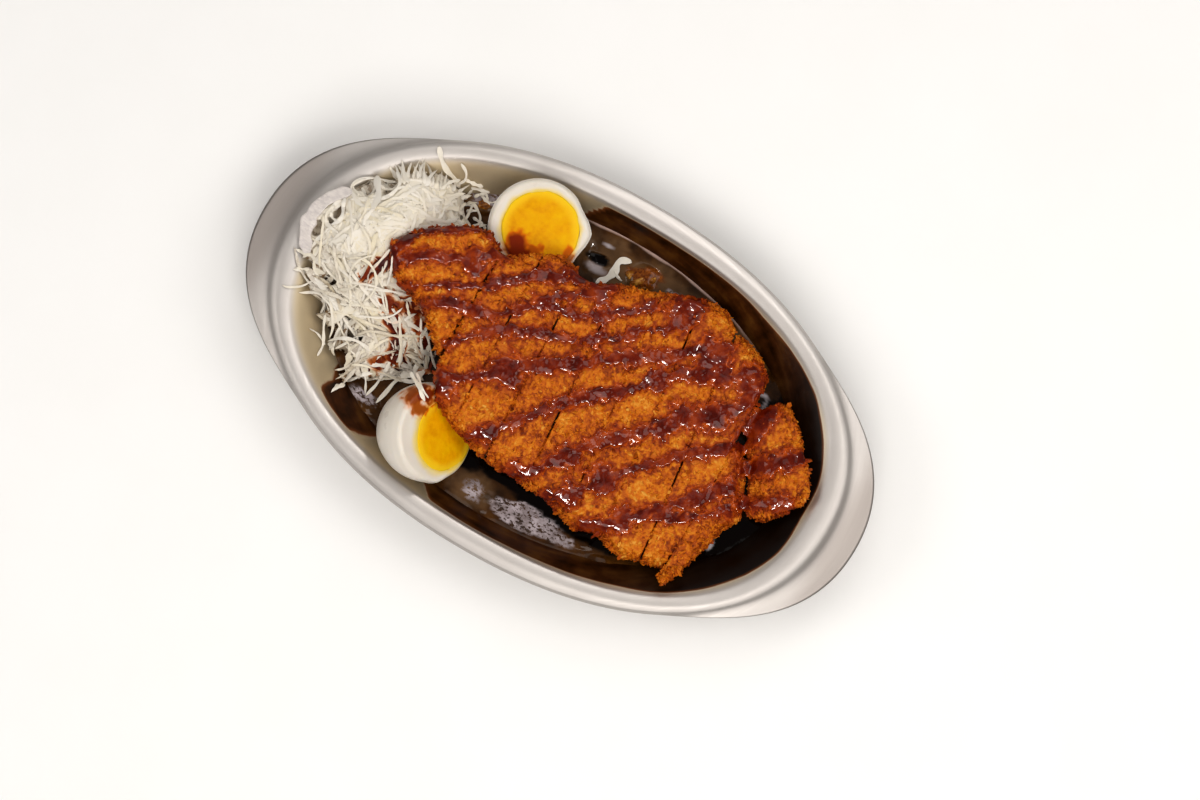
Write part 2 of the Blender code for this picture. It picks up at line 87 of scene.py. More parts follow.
# The lip: share of its width, extra width all round, drop at the long sides and at the ends.
LIP_RINGS = ((0.20, 0.5, 0.5, 2.2), (0.55, 0.9, 1.0, 3.6), (1.00, 1.3, 1.5, 4.2))
LIP_WIDTH = 13.7
LIP_START = 0.62
LIP_POWER = 2.1
SHEET = 1.0
DISH_TURNS = 288
DISH_STEPS = 5
CURRY_RING = 4
CURRY_LEVEL = 20.0
# The wall's softer shine ends at this ring and fades between these heights; towards its ends the lip is painted
# darker, as painted shade.
POLISHED_RINGS = 7
POLISH_HEIGHTS = (31.0, 33.4)
LIP_SHADE_ENDS = (128.0, 142.0)
# Curry has dried on the wall from these places along the dish's far and near sides, up to this height. On the
# far side its edge leans with the height, and towards the right end it is painted near black, as painted shade.
FILM_STARTS = (-30.0, -84.0)
FILM_LEAN = 1.1
FILM_TOP = 32.0
FILM_SHADE_SPAN = (50.0, 110.0)
# Where the near wall stays bare beside the egg: its two ends at the film's top, and how they slant downwards.
BARE_WALL = (-65.0, -18.0)
BARE_SLANT = (0.84, -1.15)

# The camera looks steeply down at a point at the rim's height, turned from the dish's long axis.
VIEW_TURN = math.radians(30.32)
VIEW_ELEVATION = math.radians(85.0)
VIEW_DISTANCE = 1300.0
VIEW_SHIFT = (17.7, -10.5)
RIM_HEIGHT = 34.0
LENS = 90.5

CUTLET_NODES = [f"cutlet_strip_{i}" for i in range(1, 10)] + ["cutlet_end_piece"]

# The sauce poured over the cutlet: width of each stripe and the line that it follows.
STRIPES = (
    (4, ((-87, 7), (-84, 18), (-77, 25), (-68, 31), (-58, 36), (-50, 37))),
    (5.5, ((-84, 2), (-80, 10), (-72, 15), (-62, 20), (-54, 24), (-46, 31))),
    (4.8, ((-77, -3), (-69, 2), (-61, 7), (-54, 11), (-46, 15), (-40, 21), (-33, 27), (-26, 33), (-18, 38),
        (-12, 41))),
    (4.8, ((-64, -5), (-57, 1), (-48, 3), (-38, 6), (-32, 10), (-28, 16), (-20, 21), (-13, 24), (-5, 26),
        (3, 30), (8, 36), (13, 39), (20, 46))),
    (5, ((-22, 23), (-16, 28), (-10, 33), (-4, 39), (0, 44))),
    (4.6, ((-46, -13), (-37, -3), (-30, 4), (-22, 8), (-12, 12), (-5, 14), (3, 19), (8, 23), (17, 28),
        (21, 34), (30, 41), (34, 50), (35, 58))),
    (6.2, ((-46, -34), (-40, -28), (-33, -22), (-25, -15), (-18, -8), (-10, -2), (0, 4), (7, 9), (12, 14),
        (20, 20), (27, 25), (37, 30), (43, 37), (50, 42), (57, 47))),
    (5.6, ((-22, -45), (-12, -36), (-5, -27), (2, -17), (8, -10), (13, -4), (20, 2), (28, 8), (34, 15),
        (38, 21), (46, 28), (55, 32), (63, 36), (70, 40), (78, 42))),
    (6.6, ((4, -47), (12, -41), (17, -33), (23, -25), (30, -16), (38, -8), (45, -2), (50, 4), (56, 10),
        (64, 17), (70, 22), (75, 28), (77, 35))),
    (5.6, ((22, -48), (29, -42), (38, -32), (46, -22), (54, -12), (60, -5), (67, 1), (73, 5), (80, 12),
        (85, 14))),
    (5.8, ((43, -51), (52, -43), (60, -35), (66, -28), (72, -22), (78, -16), (82, -10), (88, -4))),
    (4.6, ((66, -32), (72, -29), (78, -25), (85, -20), (92, -14))),
    (8, ((82, 14), (83, 20), (85, 27), (86, 32))),
    (7, ((90, 6), (96, 11), (102, 17), (108, 22))),
    (6, ((96, -8), (103, -4), (111, 1))),
)
# Broad pools where stripes end or cross: middle and radius.
POOLS = (
    (-55, 22, 5), (-40, -30, 6), (-19, -10, 6.5), (-3, 40, 4.5), (33, 50, 6.5), (35, 56, 4.5), (53, 41, 7.5),
    (60, 36, 5.5), (37, 20, 5), (67, 18, 6), (55, 12, 5), (39, -30, 6), (30, -43, 4.5), (55, -40, 5.5),
    (49, 1, 4), (72, 40, 5.5), (22, -27, 4.5), (84, 24, 4.5), (103, 18, 4),
)
# The grid that the sauce is made on, and how low the crust that carries it may lie.
SAUCE_SPANS = ((-92.0, 121.0), (-56.0, 62.0))
SAUCE_STEP = 0.5
CUTLET_LOWEST = 24.0
# How far from the smoothed crust the crust may lie where sauce covers it.
STEEPEST = 2.6
# How thick the sauce is over the crumbs, how much of their hollows it fills, and how far stripes and pools spread.
SAUCE_DEPTH = 0.75
SAUCE_FILL = 0.95
STRIPE_SPREAD = 0.56
POOL_SPREAD = 1.2

# How many numbers a noise draws on, and what spreads its cells over them.
NOISE_TABLE = 4096
NOISE_PRIMES = np.array((73856093, 19349663, 83492791), np.int64)
# Rays are cast down from here, and a place with nothing below it counts as this low.
RAY_TOP = 200.0
DOWN = Vector((0.0, 0.0, -1.0))
MISSING = -99.0
# The corners of a grid's cell, in turn.
CELL_CORNERS = ((0, 0), (1, 0), (1, 1), (0, 1))


# ---------------------------------------------------------------- helpers


def smooth_step(value, low, high):
    """Rise from 0 to 1 between two values."""
    share = np.clip((value - low) / (high - low), 0.0, 1.0)
    return share * share * (3.0 - 2.0 * share)


def fade(value, low, high):
    """Fall from 1 to 0 between two values."""
    return 1.0 - smooth_step(value, low, high)


def flat_points(x, y):
    """Points on the table."""
    return np.column_stack([x, y, np.zeros(len(x))])


def away_from(points, middle):
    """How far points lie from an upright axis."""
    return np.hypot(points[:, 0] - middle[0], points[:, 1] - middle[1])


def angles_round(count):
    """Even angles all the way round."""
    return np.linspace(0.0, 2.0 * math.pi, count, endpoint=False)


def lattice(cells):
    """A table index for each whole-numbered cell."""
    return (cells.astype(np.int64) @ NOISE_PRIMES) % NOISE_TABLE


def noise_at(points, size, seed):
    """Smooth noise from -1 to 1 at points, with features of a size."""
    table = np.random.default_rng(seed).uniform(-1.0, 1.0, NOISE_TABLE)
    scaled = points / size
    cell = np.floor(scaled)
    part = scaled - cell
    part = part * part * (3.0 - 2.0 * part)
    total = np.zeros(len(points))
    for corner in np.ndindex(2, 2, 2):
        weight = np.prod(np.where(corner, part, 1.0 - part), axis=1)
        total += weight * table[lattice(cell + corner)]
    return total


def noises(points, *layers):
    """A sum of noises, from the strength, size and seed of each."""
    return sum(strength * noise_at(points, size, seed) for strength, size, seed in layers)


def cells_at(points, size, seed):
    """Cells of a size: each point's distance from its cell's border, its cell's tone and its place in it."""
    rng = np.random.default_rng(seed)
    middles = rng.uniform(0.0, 1.0, (NOISE_TABLE, 3))
    tones = rng.uniform(0.0, 1.0, NOISE_TABLE)
    tilts = rng.normal(size=(NOISE_TABLE, 3))
    scaled = points / size
    base = np.floor(scaled)
    count = len(points)
    first = np.full(count, 9.0)
    second = np.full(count, 9.0)
    tone = np.zeros(count)
    slope = np.zeros(count)
    for step in np.ndindex(3, 3, 3):
        cell = base + step - 1.0
        index = lattice(cell)
        away = scaled - cell - middles[index]
        distance = np.linalg.norm(away, axis=1)
        closer = distance < first
        second = np.where(closer, first, np.minimum(second, distance))
        first = np.where(closer, distance, first)
        tone = np.where(closer, tones[index], tone)
        slope = np.where(closer, np.sum(away * tilts[index], axis=1), slope)
    return second - first, tone, slope


def add_piece(name, points, faces, look, smooth=True):
    """Make a piece of the root body from points in millimetres."""
    mesh = bpy.data.meshes.new(name)
    mesh.from_pydata((np.asarray(points) * MM).tolist(), [], [tuple(face) for face in faces])
    if smooth:
        mesh.shade_smooth()
    piece = bpy.data.objects.new(name, mesh)
    bpy.context.scene.collection.objects.link(piece)
    mesh.materials.append(look.material)
    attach(piece, "root")
    return piece


def face_outwards(piece):
    """Turn a closed piece's faces outwards."""
    body = bmesh.new()
    body.from_mesh(piece.data)
    bmesh.ops.recalc_face_normals(body, faces=body.faces)
    body.to_mesh(piece.data)
    body.free()


def points_of(piece):
    """A mesh's points, in millimetres."""
    flat = np.zeros(len(piece.data.vertices) * 3, np.float32)
    piece.data.vertices.foreach_get("co", flat)
    return flat.reshape(-1, 3).astype(float) / MM


def normals_of(piece):
    """A mesh's vertex normals."""
    flat = np.zeros(len(piece.data.vertices) * 3, np.float32)
    piece.data.vertex_normals.foreach_get("vector", flat)
    return flat.reshape(-1, 3).astype(float)


def move_points(piece, points):
    """Set a mesh's points, given in millimetres."""
    piece.data.vertices.foreach_set("co", (points * MM).astype(np.float32).ravel())
    piece.data.update()


def paint(piece, **layers):
    """Store a number or a vector for each point of a piece, for its material."""
    for name, values in layers.items():
        values = np.asarray(values, np.float32)
        kind, field = ("FLOAT_VECTOR", "vector") if values.ndim == 2 else ("FLOAT", "value")
        piece.data.attributes.new(name, kind, "POINT").data.foreach_set(field, values.ravel())


def apply_modifiers(piece):
    """Make a piece's mesh what its modifiers make of it."""
    graph = bpy.context.evaluated_depsgraph_get()
    piece.data = bpy.data.meshes.new_from_object(piece.evaluated_get(graph))
    piece.modifiers.clear()


def dense_copy(node, name, voxel, rounds, look):
    """A copy of a solid with small even faces and softened edges."""
    piece = bpy.data.objects.new(name, frame["nodes"][node].data.copy())
    bpy.context.scene.collection.objects.link(piece)
    remesh = piece.modifiers.new("even", "REMESH")
    remesh.mode = "VOXEL"
    remesh.voxel_size = voxel * MM
    soften = piece.modifiers.new("soften", "SMOOTH")
    soften.factor = 0.5
    soften.iterations = rounds
    apply_modifiers(piece)
    piece.data.shade_smooth()
    piece.data.materials.clear()
    piece.data.materials.append(look.material)
    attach(piece, "root")
    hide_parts(node)
    return piece


def joined(bodies):
    """Points and faces of several bodies, as one."""
    all_points, all_faces, count = [], [], 0
    for points, faces in bodies:
        all_points.append(points)
        all_faces += [[count + i for i in face] for face in faces]
        count += len(points)
    return np.concatenate(all_points), all_faces


def tree_of(pieces):
    """A search tree over meshes, with points in millimetres."""
    bodies = [(points_of(piece), [face.vertices[:] for face in piece.data.polygons]) for piece in pieces]
    points, faces = joined(bodies)
    return BVHTree.FromPolygons(points.tolist(), faces)


def height_on(tree, x, y):
    """Height of the first thing below a point, or NaN where there is none."""
    hit = tree.ray_cast(Vector((x, y, RAY_TOP)), DOWN)[0]
    return math.nan if hit is None else hit.z


def heights_on(tree, x, y, missing=MISSING):
    """Height of the first thing below each point."""
    found = np.array([height_on(tree, *place) for place in zip(x.tolist(), y.tolist())])
    return np.where(np.isnan(found), missing, found)


def grid_points(xs, ys):
    """The points of a grid, row by row."""
    return (part.ravel() for part in np.meshgrid(xs, ys, indexing="ij"))


def fan(tip, first, count):
    """Triangles from a tip to a ring of points."""
    return [[tip, first + (i + 1) % count, first + i] for i in range(count)]


def grid_faces(rows, columns, closed):
    """Quads of a grid of points, row by row; a closed grid joins its last column to its first."""
    ends = columns if closed else columns - 1
    i, j = np.meshgrid(np.arange(rows - 1), np.arange(ends), indexing="ij")
    after = (j + 1) % columns
    row, below = i * columns, (i + 1) * columns
    quads = np.stack([row + j, row + after, below + after, below + j], -1)
    return quads.reshape(-1, 4).tolist()


# ---------------------------------------------------------------- materials


def rgb(red, green, blue):
    """A colour for a shader from the usual 0 to 255 values, which the looks below are given in."""
    shares = [value / 255.0 for value in (red, green, blue)]
    linear = [s / 12.92 if s <= 0.04045 else ((s + 0.055) / 1.055) ** 2.4 for s in shares]
    return (*linear, 1.0)


class Look:
    """A Principled material, with short calls for the nodes that feed it."""

    def __init__(self, name, **sockets):
        self.material = bpy.data.materials.new(name)
        self.material.use_nodes = True
        self.tree = self.material.node_tree
        self.shader = self.tree.nodes["Principled BSDF"]
        self.finish(**sockets)

    def feed(self, socket, value):
        """Set a socket to a value or link it to another node's output."""
        if isinstance(value, bpy.types.NodeSocket):
            self.tree.links.new(value, socket)
        else:
            socket.default_value = rgb(*value) if socket.type == "RGBA" else value

    def add(self, kind, inputs, **settings):
        """Add a node with its settings and inputs."""
        node = self.tree.nodes.new(kind)
        for key, value in settings.items():
            setattr(node, key, value)
        for socket, value in inputs.items():
            self.feed(node.inputs[socket], value)
        return node

    def stored(self, name, output="Fac"):
        """What the mesh stores for each point: a number, or the output "Vector"."""
        return self.add("ShaderNodeAttribute", {}, attribute_name=name).outputs[output]

    def place(self, stretch=(1.0, 1.0, 1.0), source=None):
        """Where a point lies on the object, stretched."""
        if source is None:
            source = self.add("ShaderNodeTexCoord", {}).outputs["Object"]
        return self.add("ShaderNodeMapping", {"Vector": source, "Scale": stretch}).outputs["Vector"]

    def noise(self, size, detail=3.0, roughness=0.55, place=None):
        """Noise from 0 to 1 with features of a size in millimetres."""
        inputs = {"Scale": 1.0 / (size * MM), "Detail": detail, "Roughness": roughness}
        return self.add("ShaderNodeTexNoise", inputs | {"Vector": place or self.place()}).outputs["Fac"]

    def math(self, operation, first, second):
        """Arithmetic on two numbers, held between 0 and 1."""
        node = self.add("ShaderNodeMath", {0: first, 1: second}, operation=operation, use_clamp=True)
        return node.outputs[0]

    def range(self, value, low, high, to_low=0.0, to_high=1.0):
        """Stretch a range of values to another, held at its ends."""
        inputs = {"Value": value, "From Min": low, "From Max": high, "To Min": to_low, "To Max": to_high}
        return self.add("ShaderNodeMapRange", inputs).outputs["Result"]

    def mix(self, share, first, second):
        """Blend two colours."""
        node = self.add("ShaderNodeMix", {0: share, 6: first, 7: second}, data_type="RGBA")
        return node.outputs[2]

    def cover(self, colour, value, *covers):
        """Lay colours over one where a value rises: from where, up to where, and the colour."""
        for low, high, over in covers:
            colour = self.mix(self.range(value, low, high), colour, over)
        return colour

    def ramp(self, value, *stops):
        """A colour for each value, from places and colours."""
        node = self.add("ShaderNodeValToRGB", {"Fac": value})
        elements = node.color_ramp.elements
        while len(elements) < len(stops):
            elements.new(0.5)
        for element, (where, colour) in zip(elements, stops):
            element.position = where
            element.color = rgb(*colour)
        return node.outputs["Color"]

    def bump(self, height, depth, strength=1.0, normal=None):
        """Relief of a depth in millimetres."""
        inputs = {"Height": height, "Distance": depth * MM, "Strength": strength}
        if normal is not None:
            inputs["Normal"] = normal
        return self.add("ShaderNodeBump", inputs).outputs["Normal"]

    def finish(self, **sockets):
        """Feed the shader."""
        for socket, value in sockets.items():
            self.feed(self.shader.inputs[socket.replace("_", " ")], value)
        return self


def steel_look():
    """Satin rim and lip, a softer shine on the wall, and a film of curry on the wall."""
    look = Look("pressed_steel", Specular_IOR_Level=0.3)
    polish = look.stored("polish")
    grain = look.stored("grain", "Vector")
    lines = look.noise(1.0, 4.0, 0.6, look.place((0.012, 1.0, 1.0), grain))
    haze = look.noise(22.0, 3.0)
    colour = look.mix(haze, (198, 192, 187), (214, 209, 205))
    # Painted shade: the lip is mixed towards a darker grey towards its ends.
    colour = look.mix(look.math("MULTIPLY", look.stored("outer"), 0.8), colour, (176, 167, 161))
    colour = look.mix(polish, colour, (206, 190, 160))
    rough = look.range(polish, 0.0, 1.0, 0.5, 0.42)
    rough = look.math("ADD", rough, look.range(lines, 0.3, 0.7, -0.03, 0.05))
    film = look.stored("film")
    streaks = look.noise(4.5, 3.0, 0.5, look.place((0.1, 0.8, 1.0), grain))
    clouds = look.noise(9.0, 3.0, 0.55)
    streaks = look.math("ADD", look.math("MULTIPLY", streaks, 0.5), look.math("MULTIPLY", clouds, 0.5))
    dried = look.ramp(streaks, (0.36, (29, 10, 0)), (0.5, (66, 32, 4)), (0.64, (96, 59, 14)))
    # Painted shade: the film is mixed towards near black towards the right end.
    dried = look.mix(look.stored("murk"), dried, (16, 5, 1))
    dried = look.mix(look.range(film, 0.85, 0.35), dried, (112, 64, 30))
    covered = look.range(film, 0.12, 0.4)
    colour = look.mix(covered, colour, dried)
    rough = look.mix(covered, rough, look.range(streaks, 0.35, 0.65, 0.28, 0.5))
    metal = look.math("SUBTRACT", look.range(polish, 0.0, 1.0, 1.0, 0.62), covered)
    depth = look.range(polish, 0.0, 1.0, 1.0, 0.12)
    normal = look.bump(look.math("MULTIPLY", lines, depth), 0.012, 0.5)
    normal = look.bump(look.math("MULTIPLY", streaks, covered), 0.2, 0.5, normal)
    return look.finish(Base_Color=colour, Roughness=rough, Metallic=metal, Normal=normal)


def curry_look():
    """Thick dark brown wet sauce, its wrinkled skin painted grey as reflection; painted highlights, sheen and
    shade.
    """
    look = Look("curry_roux", IOR=1.34)
    skin, shade = look.stored("skin"), look.stored("shade")
    cloud = look.noise(14.0, 4.0)
    grain = look.noise(1.1, 4.0, 0.7)
    base = look.ramp(cloud, (0.32, (34, 16, 1)), (0.52, (66, 38, 9)), (0.7, (100, 64, 24)))
    # Painted soft sheen: broad pale brown-grey patches on the pools, for the light that they mirror.
    painted_soft_sheen = look.math("MULTIPLY", look.stored("haze"), look.range(cloud, 0.3, 0.6, 0.35, 0.8))
    base = look.mix(painted_soft_sheen, base, (114, 86, 58))
    base = look.mix(shade, base, (8, 2, 1))
    amber = look.ramp(grain, (0.35, (84, 34, 5)), (0.65, (150, 84, 22)))
    base = look.mix(look.stored("amber"), base, amber)
    crease = look.noise(1.15, 3.0, 0.65, look.place((0.6, 1.0, 1.0)))
    # Painted reflection: the wrinkled skin is painted grey for the light that it would mirror.
    covered = look.math("MULTIPLY", skin, look.range(crease, 0.4, 0.5))
    skin_reflection_tone = look.range(look.noise(6.0, 3.0), 0.35, 0.65)
    colour = look.mix(covered, base, look.mix(skin_reflection_tone, (120, 106, 104), (184, 172, 176)))
    # Painted highlight: smooth grey gleams and glints.
    colour = look.mix(look.math("MULTIPLY", look.stored("sheen"), 0.9), colour, (190, 182, 186))
    # Painted highlight: a pale line where the curry meets the far wall.
    line = look.math("MULTIPLY", look.stored("line"), look.range(cloud, 0.3, 0.6, 0.55, 1.0))
    colour = look.mix(line, colour, (186, 160, 150))
    rough = look.range(skin, 0.0, 1.0, 0.1, 0.34)
    normal = look.bump(grain, 0.1, look.range(skin, 0.0, 1.0, 0.08, 0.5))
    normal = look.bump(crease, 0.5, look.range(skin, 0.0, 1.0, 0.0, 0.8), normal)
    normal = look.bump(look.noise(5.0, 2.0), 0.3, 0.6, normal)
    shine = look.range(shade, 0.0, 1.0, 0.5, 0.22)
    return look.finish(Base_Color=colour, Roughness=rough, Specular_IOR_Level=shine, Normal=normal)


def morsel_look():
    """Soft cooked pieces, golden brown and glazed with curry."""
    look = Look("curry_morsel", Roughness=0.16, IOR=1.4)
    cloud = look.noise(2.6, 4.0, 0.6)
    colour = look.ramp(cloud, (0.3, (82, 38, 8)), (0.5, (150, 92, 26)), (0.72, (206, 154, 70)))
    return look.finish(Base_Color=colour, Normal=look.bump(cloud, 0.3, 0.5))


def crust_look(name="panko_crust"):
    """Deep-fried breadcrumbs: golden orange tips, with painted shade in the hollows."""
    look = Look(name, Specular_IOR_Level=0.16)
    tone = look.stored("tone")
    grain = look.noise(0.7, 3.0, 0.7)
    patch = look.noise(6.0, 4.0, 0.6)
    value = look.math("ADD", look.math("MULTIPLY", tone, 0.58), look.math("MULTIPLY", grain, 0.38))
    broad = look.noise(16.0, 2.0)
    value = look.math("ADD", value, look.range(patch, 0.3, 0.7, -0.14, 0.18))
    value = look.math("ADD", value, look.range(broad, 0.35, 0.65, -0.06, 0.08))
    value = look.math("SUBTRACT", value, look.math("MULTIPLY", look.stored("browned"), 0.2))
    colour = look.ramp(
        value, (0.1, (102, 36, 2)), (0.3, (158, 72, 6)), (0.48, (196, 105, 13)), (0.66, (209, 129, 24)),
        (0.9, (224, 168, 74)),
    )
    soaked = look.ramp(value, (0.15, (92, 22, 1)), (0.5, (146, 52, 6)), (0.9, (196, 96, 18)))
    colour = look.mix(look.stored("soak"), colour, soaked)
    colour = look.mix(look.stored("cut"), colour, (222, 190, 150))
    rough = look.range(grain, 0.2, 0.8, 0.36, 0.62)
    normal = look.bump(grain, 0.25, 0.8)
    return look.finish(Base_Color=colour, Roughness=rough, Normal=normal)


def sauce_look():
    """Cutlet sauce: dark red-brown, thick and shiny, amber where it is thin."""
    look = Look("cutlet_sauce", Specular_IOR_Level=0.26, Coat_Weight=0.06, Coat_Roughness=0.02)
    thin = look.stored("thin")
    patch = look.noise(7.0, 3.0)
    deep = look.ramp(patch, (0.34, (80, 12, 0)), (0.5, (110, 28, 3)), (0.68, (150, 58, 11)))
    colour = look.mix(thin, deep, (186, 84, 12))
    normal = look.bump(look.noise(3.4, 1.0, 0.4), 0.14, 0.3)
    rough = look.range(patch, 0.35, 0.65, 0.05, 0.15)
    return look.finish(Base_Color=colour, Roughness=rough, Normal=normal)


def white_look():
    """Boiled egg white: smooth, moist and faintly see-through, yellow by the yolk."""
    look = Look("egg_white", Subsurface_Radius=(1.0, 0.8, 0.55), Subsurface_Scale=0.004, IOR=1.38)
    cloud = look.noise(7.0, 3.0)
    colour = look.mix(cloud, (222, 214, 202), (228, 221, 211))
    colour = look.mix(look.stored("yellow"), colour, (234, 205, 98))
    stain = look.stored("stain")
    colour = look.cover(colour, stain, (0.0, 0.5, (214, 124, 4)), (0.3, 0.62, (124, 42, 0)))
    rough = look.range(cloud, 0.3, 0.7, 0.26, 0.4)
    normal = look.bump(look.noise(2.4, 3.0), 0.06, 0.5)
    clear = look.range(stain, 0.0, 0.4, 0.25, 0.03)
    return look.finish(Base_Color=colour, Roughness=rough, Subsurface_Weight=clear, Normal=normal)


def yolk_look():
    """Set yolk: deep yellow, grainy and moist, stained where sauce ran."""
    look = Look("egg_yolk", Roughness=0.42, Specular_IOR_Level=0.1, IOR=1.4, Subsurface_Weight=0.2,
                Subsurface_Scale=0.003, Subsurface_Radius=(1.0, 0.6, 0.1))
    cloud = look.noise(6.0, 4.0, 0.6)
    grain = look.noise(0.6, 3.0)
    colour = look.ramp(cloud, (0.3, (232, 182, 0)), (0.52, (228, 168, 0)), (0.72, (214, 144, 0)))
    colour = look.mix(look.stored("rim"), colour, (240, 198, 36))
    colour = look.cover(colour, look.stored("stain"), (0.0, 0.35, (214, 116, 2)), (0.35, 0.95, (140, 44, 0)))
    normal = look.bump(grain, 0.08, 0.6)
    return look.finish(Base_Color=colour, Normal=normal)


def cabbage_look(name, shade):
    """Raw shredded cabbage: wet and pale."""
    look = Look(name, IOR=1.34, Specular_IOR_Level=0.3)
    grain = look.noise(1.6, 3.0, 0.6)
    patch = look.noise(9.0, 2.0)
    value = look.math("ADD", look.math("MULTIPLY", look.stored("tone"), 0.7), look.math("MULTIPLY", grain, 0.2))
    value = look.math("ADD", value, look.range(patch, 0.35, 0.65, -0.08, 0.1))
    colour = look.ramp(
        value, (0.1, (221, 209, 174)), (0.35, (228, 218, 196)), (0.6, (231, 223, 208)), (0.85, (234, 228, 218))
    )
    # Painted shade: the inside of the heap is mixed a little towards a darker beige.
    colour = look.mix(shade, colour, (206, 190, 150))
    woven = look.math("MAXIMUM", *(
        look.range(look.noise(1.5, 2.0, 0.5, look.place(stretch)), 0.5, 0.58)
        for stretch in ((0.2, 1.0, 0.5), (1.0, 0.2, 0.35))
    ))
    # Soak browns the cabbage with curry; on the core's web and gaps the brown is also painted shade.
    soak, stain = look.stored("soak"), look.stored("stain")
    soaked = look.math("MULTIPLY", soak, look.range(woven, 0.0, 1.0, 1.0, 0.45))
    colour = look.mix(soaked, colour, look.mix(grain, (84, 54, 22), (140, 106, 62)))
    veins = look.range(look.noise(1.2, 3.0, 0.6, look.place((0.3, 1.0, 1.0))), 0.35, 0.65)
    colour = look.mix(look.stored("leaf"), colour, look.mix(veins, (208, 200, 196), (228, 220, 214)))
    colour = look.cover(
        colour, stain, (0.05, 0.35, (206, 128, 44)), (0.16, 0.42, (128, 46, 6)), (0.38, 0.72, (72, 10, 2))
    )
    rough = look.range(stain, 0.6, 0.95, 0.42, 0.12)
    normal = look.bump(grain, 0.12, 0.6)
    normal = look.bump(look.math("MULTIPLY", woven, soak), 0.5, 0.8, normal)
    return look.finish(Base_Color=colour, Roughness=rough, Normal=normal)


def floor_look():
    """A plain pale floor."""
    look = Look("pale_floor", Roughness=0.6)
    colour = look.mix(look.noise(60.0, 2.0), (243, 242, 240), (247, 246, 245))
    return look.finish(Base_Color=colour)


# ---------------------------------------------------------------- dish


def oval(half_length, half_width, squareness, turns):
    """Points of a rounded oval at turns from +X."""
    power = 2.0 / squareness
    x, y = (np.sign(part) * np.abs(part) ** power for part in (np.cos(turns), np.sin(turns)))
    return half_length * x, half_width * y


def dish_rows(turns):
    """Rings of points on the dish's inner face, from floor to lip edge."""
    rows = []
    for half_length, half_width, squareness, height in DISH_RINGS:
        x, y = oval(half_length, half_width, squareness, turns)
        rows.append(np.column_stack([x, y, np.full(len(turns), height)]))
    outward = np.stack([x / half_length ** 2, y / half_width ** 2], axis=1)
    outward /= np.linalg.norm(outward, axis=1)[:, None]
    width = LIP_WIDTH * np.clip((np.abs(np.cos(turns)) - LIP_START) / (1.0 - LIP_START), 0.0, 1.0) ** LIP_POWER
    for share, extra, side_drop, end_drop in LIP_RINGS:
        reach = extra + share * width
        drop = side_drop + (end_drop - side_drop) * width / LIP_WIDTH
        rows.append(np.column_stack([x + outward[:, 0] * reach, y + outward[:, 1] * reach, height - drop]))
    return np.array(rows)


def rows_through(rows, steps):
    """Rows on smooth curves through rows of points."""
    padded = np.concatenate([2 * rows[:1] - rows[1:2], rows, 2 * rows[-1:] - rows[-2:-1]])
    made = []
    for i in range(len(rows) - 1):
        before, start, end, after = padded[i:i + 4]
        for t in np.arange(steps) / steps:
            made.append(
                start
                + 0.5 * t * (end - before)
                + t * t * (before - 2.5 * start + 2.0 * end - 0.5 * after)
                + t ** 3 * (1.5 * (start - end) + 0.5 * (after - before))
            )
    made.append(rows[-1])
    return np.array(made)


def dish_film(points):
    """How thickly curry has dried on the dish's inner face."""
    x, y, z = points.T
    start = np.where(y > 0.0, FILM_STARTS[0] + FILM_LEAN * (z - CURRY_LEVEL), FILM_STARTS[1])
    ragged = noise_at(points * (0.3, 0.3, 0.3), 5.0, 91) + 0.12 * noise_at(points, 3.0, 92)
    side = 4.5 * ragged + 2.4 * noise_at(points, 5.0, 93)
    film = smooth_step(x - start + side, -3.0, 3.0)
    first, last = (x - end - slant * (FILM_TOP - z) + side for end, slant in zip(BARE_WALL, BARE_SLANT))
    bare = smooth_step(first, -3.5, 3.5) * fade(last, -3.5, 3.5)
    film *= 1.0 - np.where(y < 0.0, bare, 0.0)
    return film * fade(z + 0.5 * ragged, FILM_TOP - 1.2, FILM_TOP)


